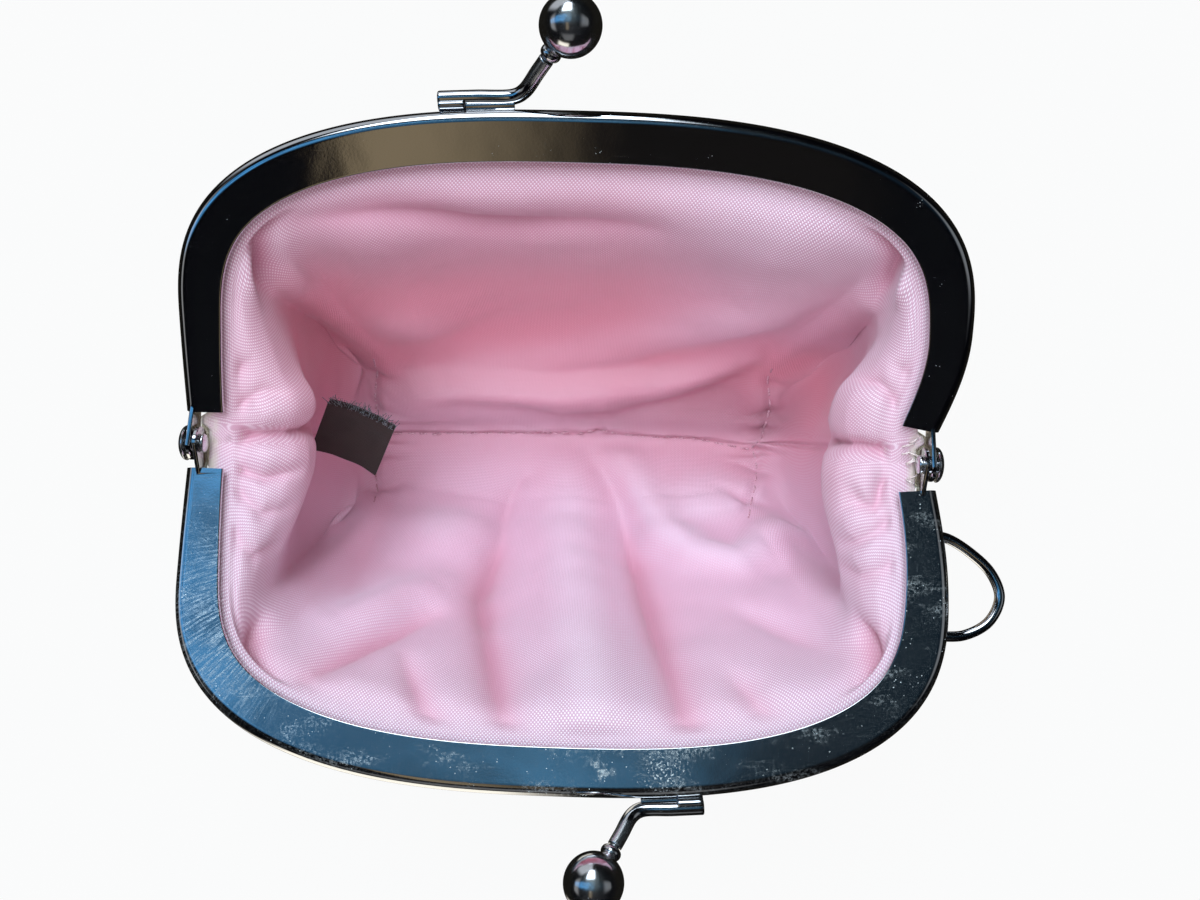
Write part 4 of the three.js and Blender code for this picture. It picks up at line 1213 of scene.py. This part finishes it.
def lining_height(x, y, highest):
    """Height of the lining's inside over a place in plan, among points below a height."""
    flat = lining_face.reshape(-1, 3)
    flat = flat[(flat[:, 2] > 0) & (flat[:, 2] < highest)]
    away = np.hypot(flat[:, 0] - x, flat[:, 1] - y)
    near = np.argsort(away)[:4]
    return np.average(flat[near, 2], weights=1 / (away[near] + 0.05))


def seam_stitches(route, pitch, length, aside, highest):
    """Short stitches laid along a seam seen from above."""
    route = np.asarray(route, float)
    lengths = run_lengths(route)
    total = lengths[-1]
    strands = []
    for middle in np.arange(pitch / 2, total, pitch):
        at = np.clip(np.linspace(middle - length / 2, middle + length / 2, 5) / total, 0, 1)
        plan = np.stack([np.interp(at * total, lengths, route[:, k]) for k in (0, 1)], -1)
        run = plan[-1] - plan[0]
        run /= max(np.linalg.norm(run), 1e-6)
        plan = plan + np.array([run[1], -run[0]]) * (aside + draw.normal() * 0.06)
        height = np.array([lining_height(x, y, highest) for x, y in plan])
        lift = 0.16 * np.sin(np.linspace(0, math.pi, 5)) - 0.05
        strands.append(np.column_stack([plan, height + lift]))
    return strands


def hinge_threads():
    """Loose pale threads that sew the cloth's edge at the right hinge."""
    strands = []
    for _ in range(LOOSE_COUNT):
        start = np.array([draw.uniform(45.6, 46.8), draw.uniform(-2.6, 3.0), 52.5])
        run = np.array([draw.uniform(0.8, 2.0), draw.uniform(-0.9, 0.9), 0.0])
        share = np.linspace(0, 1, 7)[:, None]
        strands.append(start + run * share + np.array([0, 0, 0.5]) * np.sin(share * math.pi))
    return strands


def label_fray():
    """Fine hairs along the label's cut edges."""
    strands = []
    count = label_grid.shape[1]
    inside = label_grid[LABEL_COLUMNS // 2, count // 4]
    for edge in (0, count // 2 - 1, count // 2, count - 1):
        for _ in range(FRAY_COUNT):
            root = label_grid[draw.integers(0, LABEL_COLUMNS), edge]
            away = unit(root - inside) + draw.normal(size=3) * 0.5
            share = np.linspace(0, 1, 4)[:, None]
            strands.append(root + away * share * draw.uniform(0.2, 0.8) + np.array([0, 0, 0.2]) * share ** 2)
    return strands


draw = np.random.default_rng(12)
stitches = seam_stitches(BASE_SEAM, *BASE_STITCHES)
for seam in BOX_SEAMS:
    stitches += seam_stitches(seam, *BOX_STITCHES)
thread_piece("seam_stitches", stitches, STITCH_RADIUS, PINK_THREAD)
thread_piece("hinge_threads", hinge_threads(), LOOSE_RADIUS, WHITE_THREAD)
thread_piece("label_fray", label_fray(), FRAY_RADIUS, FRAY_THREAD, sides=4)


# Stage, light and camera
def pale_floor():
    mesh = bpy.data.meshes.new("floor")
    corners = [(-1, -1), (1, -1), (1, 1), (-1, 1)]
    mesh.from_pydata([(x * FLOOR_REACH, y * FLOOR_REACH, 0) for x, y in corners], [], [(0, 1, 2, 3)])
    mesh.materials.append(floor_material())
    floor = bpy.data.objects.new("floor", mesh)
    bpy.context.scene.collection.objects.link(floor)
    floor.location.z = -FLOOR_DROP
    floor.visible_glossy = False


def studio_world():
    """A dark room with a tall soft window behind the purse for mirrors, and a soft dome for cloth."""
    world = bpy.data.worlds.new("studio")
    bpy.context.scene.world = world
    world.use_nodes = True
    s = Shader("studio", world.node_tree)
    around = s.place("Generated")
    x, y, z = s.parts(around)
    height = s.most(z, 0.04)
    across, along = (s.math("DIVIDE", way, height) for way in (x, y))
    above = s.span(z, 0.0, 0.08)

    def patch(left, right, near, far, soft):
        """A soft rectangle on a ceiling one unit up."""
        sides = s.times(s.span(across, left - soft, left + soft), s.span(across, right + soft, right - soft))
        ends = s.times(s.span(along, near - soft, near + soft), s.span(along, far + soft, far - soft))
        return s.times(sides, ends, above)

    def total(room, lights):
        for mask, colour in lights:
            room = s.vector("ADD", room, s.mix(mask, (0, 0, 0), colour))
        return room

    mottled = s.span(s.noise(around, 8.0, 4.0), 0.40, 0.62, 0.40, 1.0)
    glow = s.times(patch(-3.0, 0.02, -0.02, 0.46, 0.14), mottled)
    blue = s.mix(s.span(across, -0.08, -0.55), (0.075, 0.25, 0.44), (0.11, 0.46, 0.95))
    tan = s.times(patch(-0.245, 0.2, -0.60, -0.10, 0.03), s.span(across, 0.0, -0.20, 0.018, 1.0))
    wall = s.times(s.span(y, 0.50, 0.72), s.span(z, -0.25, -0.05))
    wall = s.times(wall, s.span(x, -0.04, -0.12), s.span(z, 0.50, 0.35))
    table = s.times(s.span(y, -0.50, -0.72), s.span(z, 0.22, 0.10))
    table = s.times(table, s.span(x, -0.02, -0.12), s.span(x, -0.62, -0.50))
    room = s.mix(s.span(z, -0.3, 0.3), (0.010, 0.009, 0.007), (0.0012, 0.0012, 0.0022))
    # Window, blue glow and its dim right side, wall, table, tan ceiling, then left, front and right lamps
    mirror = total(room, [
        (patch(-0.60, 0.06, 0.78, 2.4, 0.14), (5.2, 5.8, 6.4)),
        (glow, blue),
        (patch(-0.1, 1.4, -0.02, 0.46, 0.2), (0.004, 0.012, 0.020)),
        (wall, (0.55, 0.58, 0.62)),
        (table, (1.5, 1.4, 1.2)),
        (tan, (0.26, 0.20, 0.12)),
        (patch(-3.2, -1.5, -0.9, 0.9, 0.3), (0.3, 0.3, 0.3)),
        (patch(-0.8, 0.4, -2.6, -1.1, 0.25), (0.15, 0.15, 0.15)),
        (patch(0.9, 2.6, -0.3, 0.6, 0.25), (0.20, 0.21, 0.22)),
    ])
    # Daylight and fill for the cloth
    dome = s.mix(s.span(z, -0.1, 0.7), (0.22, 0.19, 0.18), (0.44, 0.41, 0.41))
    soft = total(dome, [
        (patch(-0.65, 0.25, 0.10, 1.35, 0.2), (6.0, 7.9, 8.6)),
        (patch(-0.7, 0.7, -1.2, -0.2, 0.25), (1.6, 1.75, 1.95)),
    ])
    path = s.tree.nodes.new("ShaderNodeLightPath")
    shown = s.mix(path.outputs["Is Glossy Ray"], soft, mirror)
    shown = s.mix(path.outputs["Is Camera Ray"], shown, (0.96, 0.96, 0.96))
    background = s.node("ShaderNodeBackground", {"Color": shown, "Strength": 1.0})
    s.node("ShaderNodeOutputWorld", {"Surface": background})


def photo_camera():
    data = bpy.data.cameras.new("camera")
    data.sensor_width = CAMERA_SENSOR
    data.lens = CAMERA_LENS
    data.clip_start = 0.01
    camera = bpy.data.objects.new("camera", data)
    bpy.context.scene.collection.objects.link(camera)
    axes = Matrix(CAMERA_AXES).to_4x4()
    axes.translation = Vector(CAMERA_AT) * MM
    camera.matrix_world = axes
    bpy.context.scene.camera = camera
    bpy.context.scene.view_settings.view_transform = "Standard"


pale_floor()
studio_world()
photo_camera()
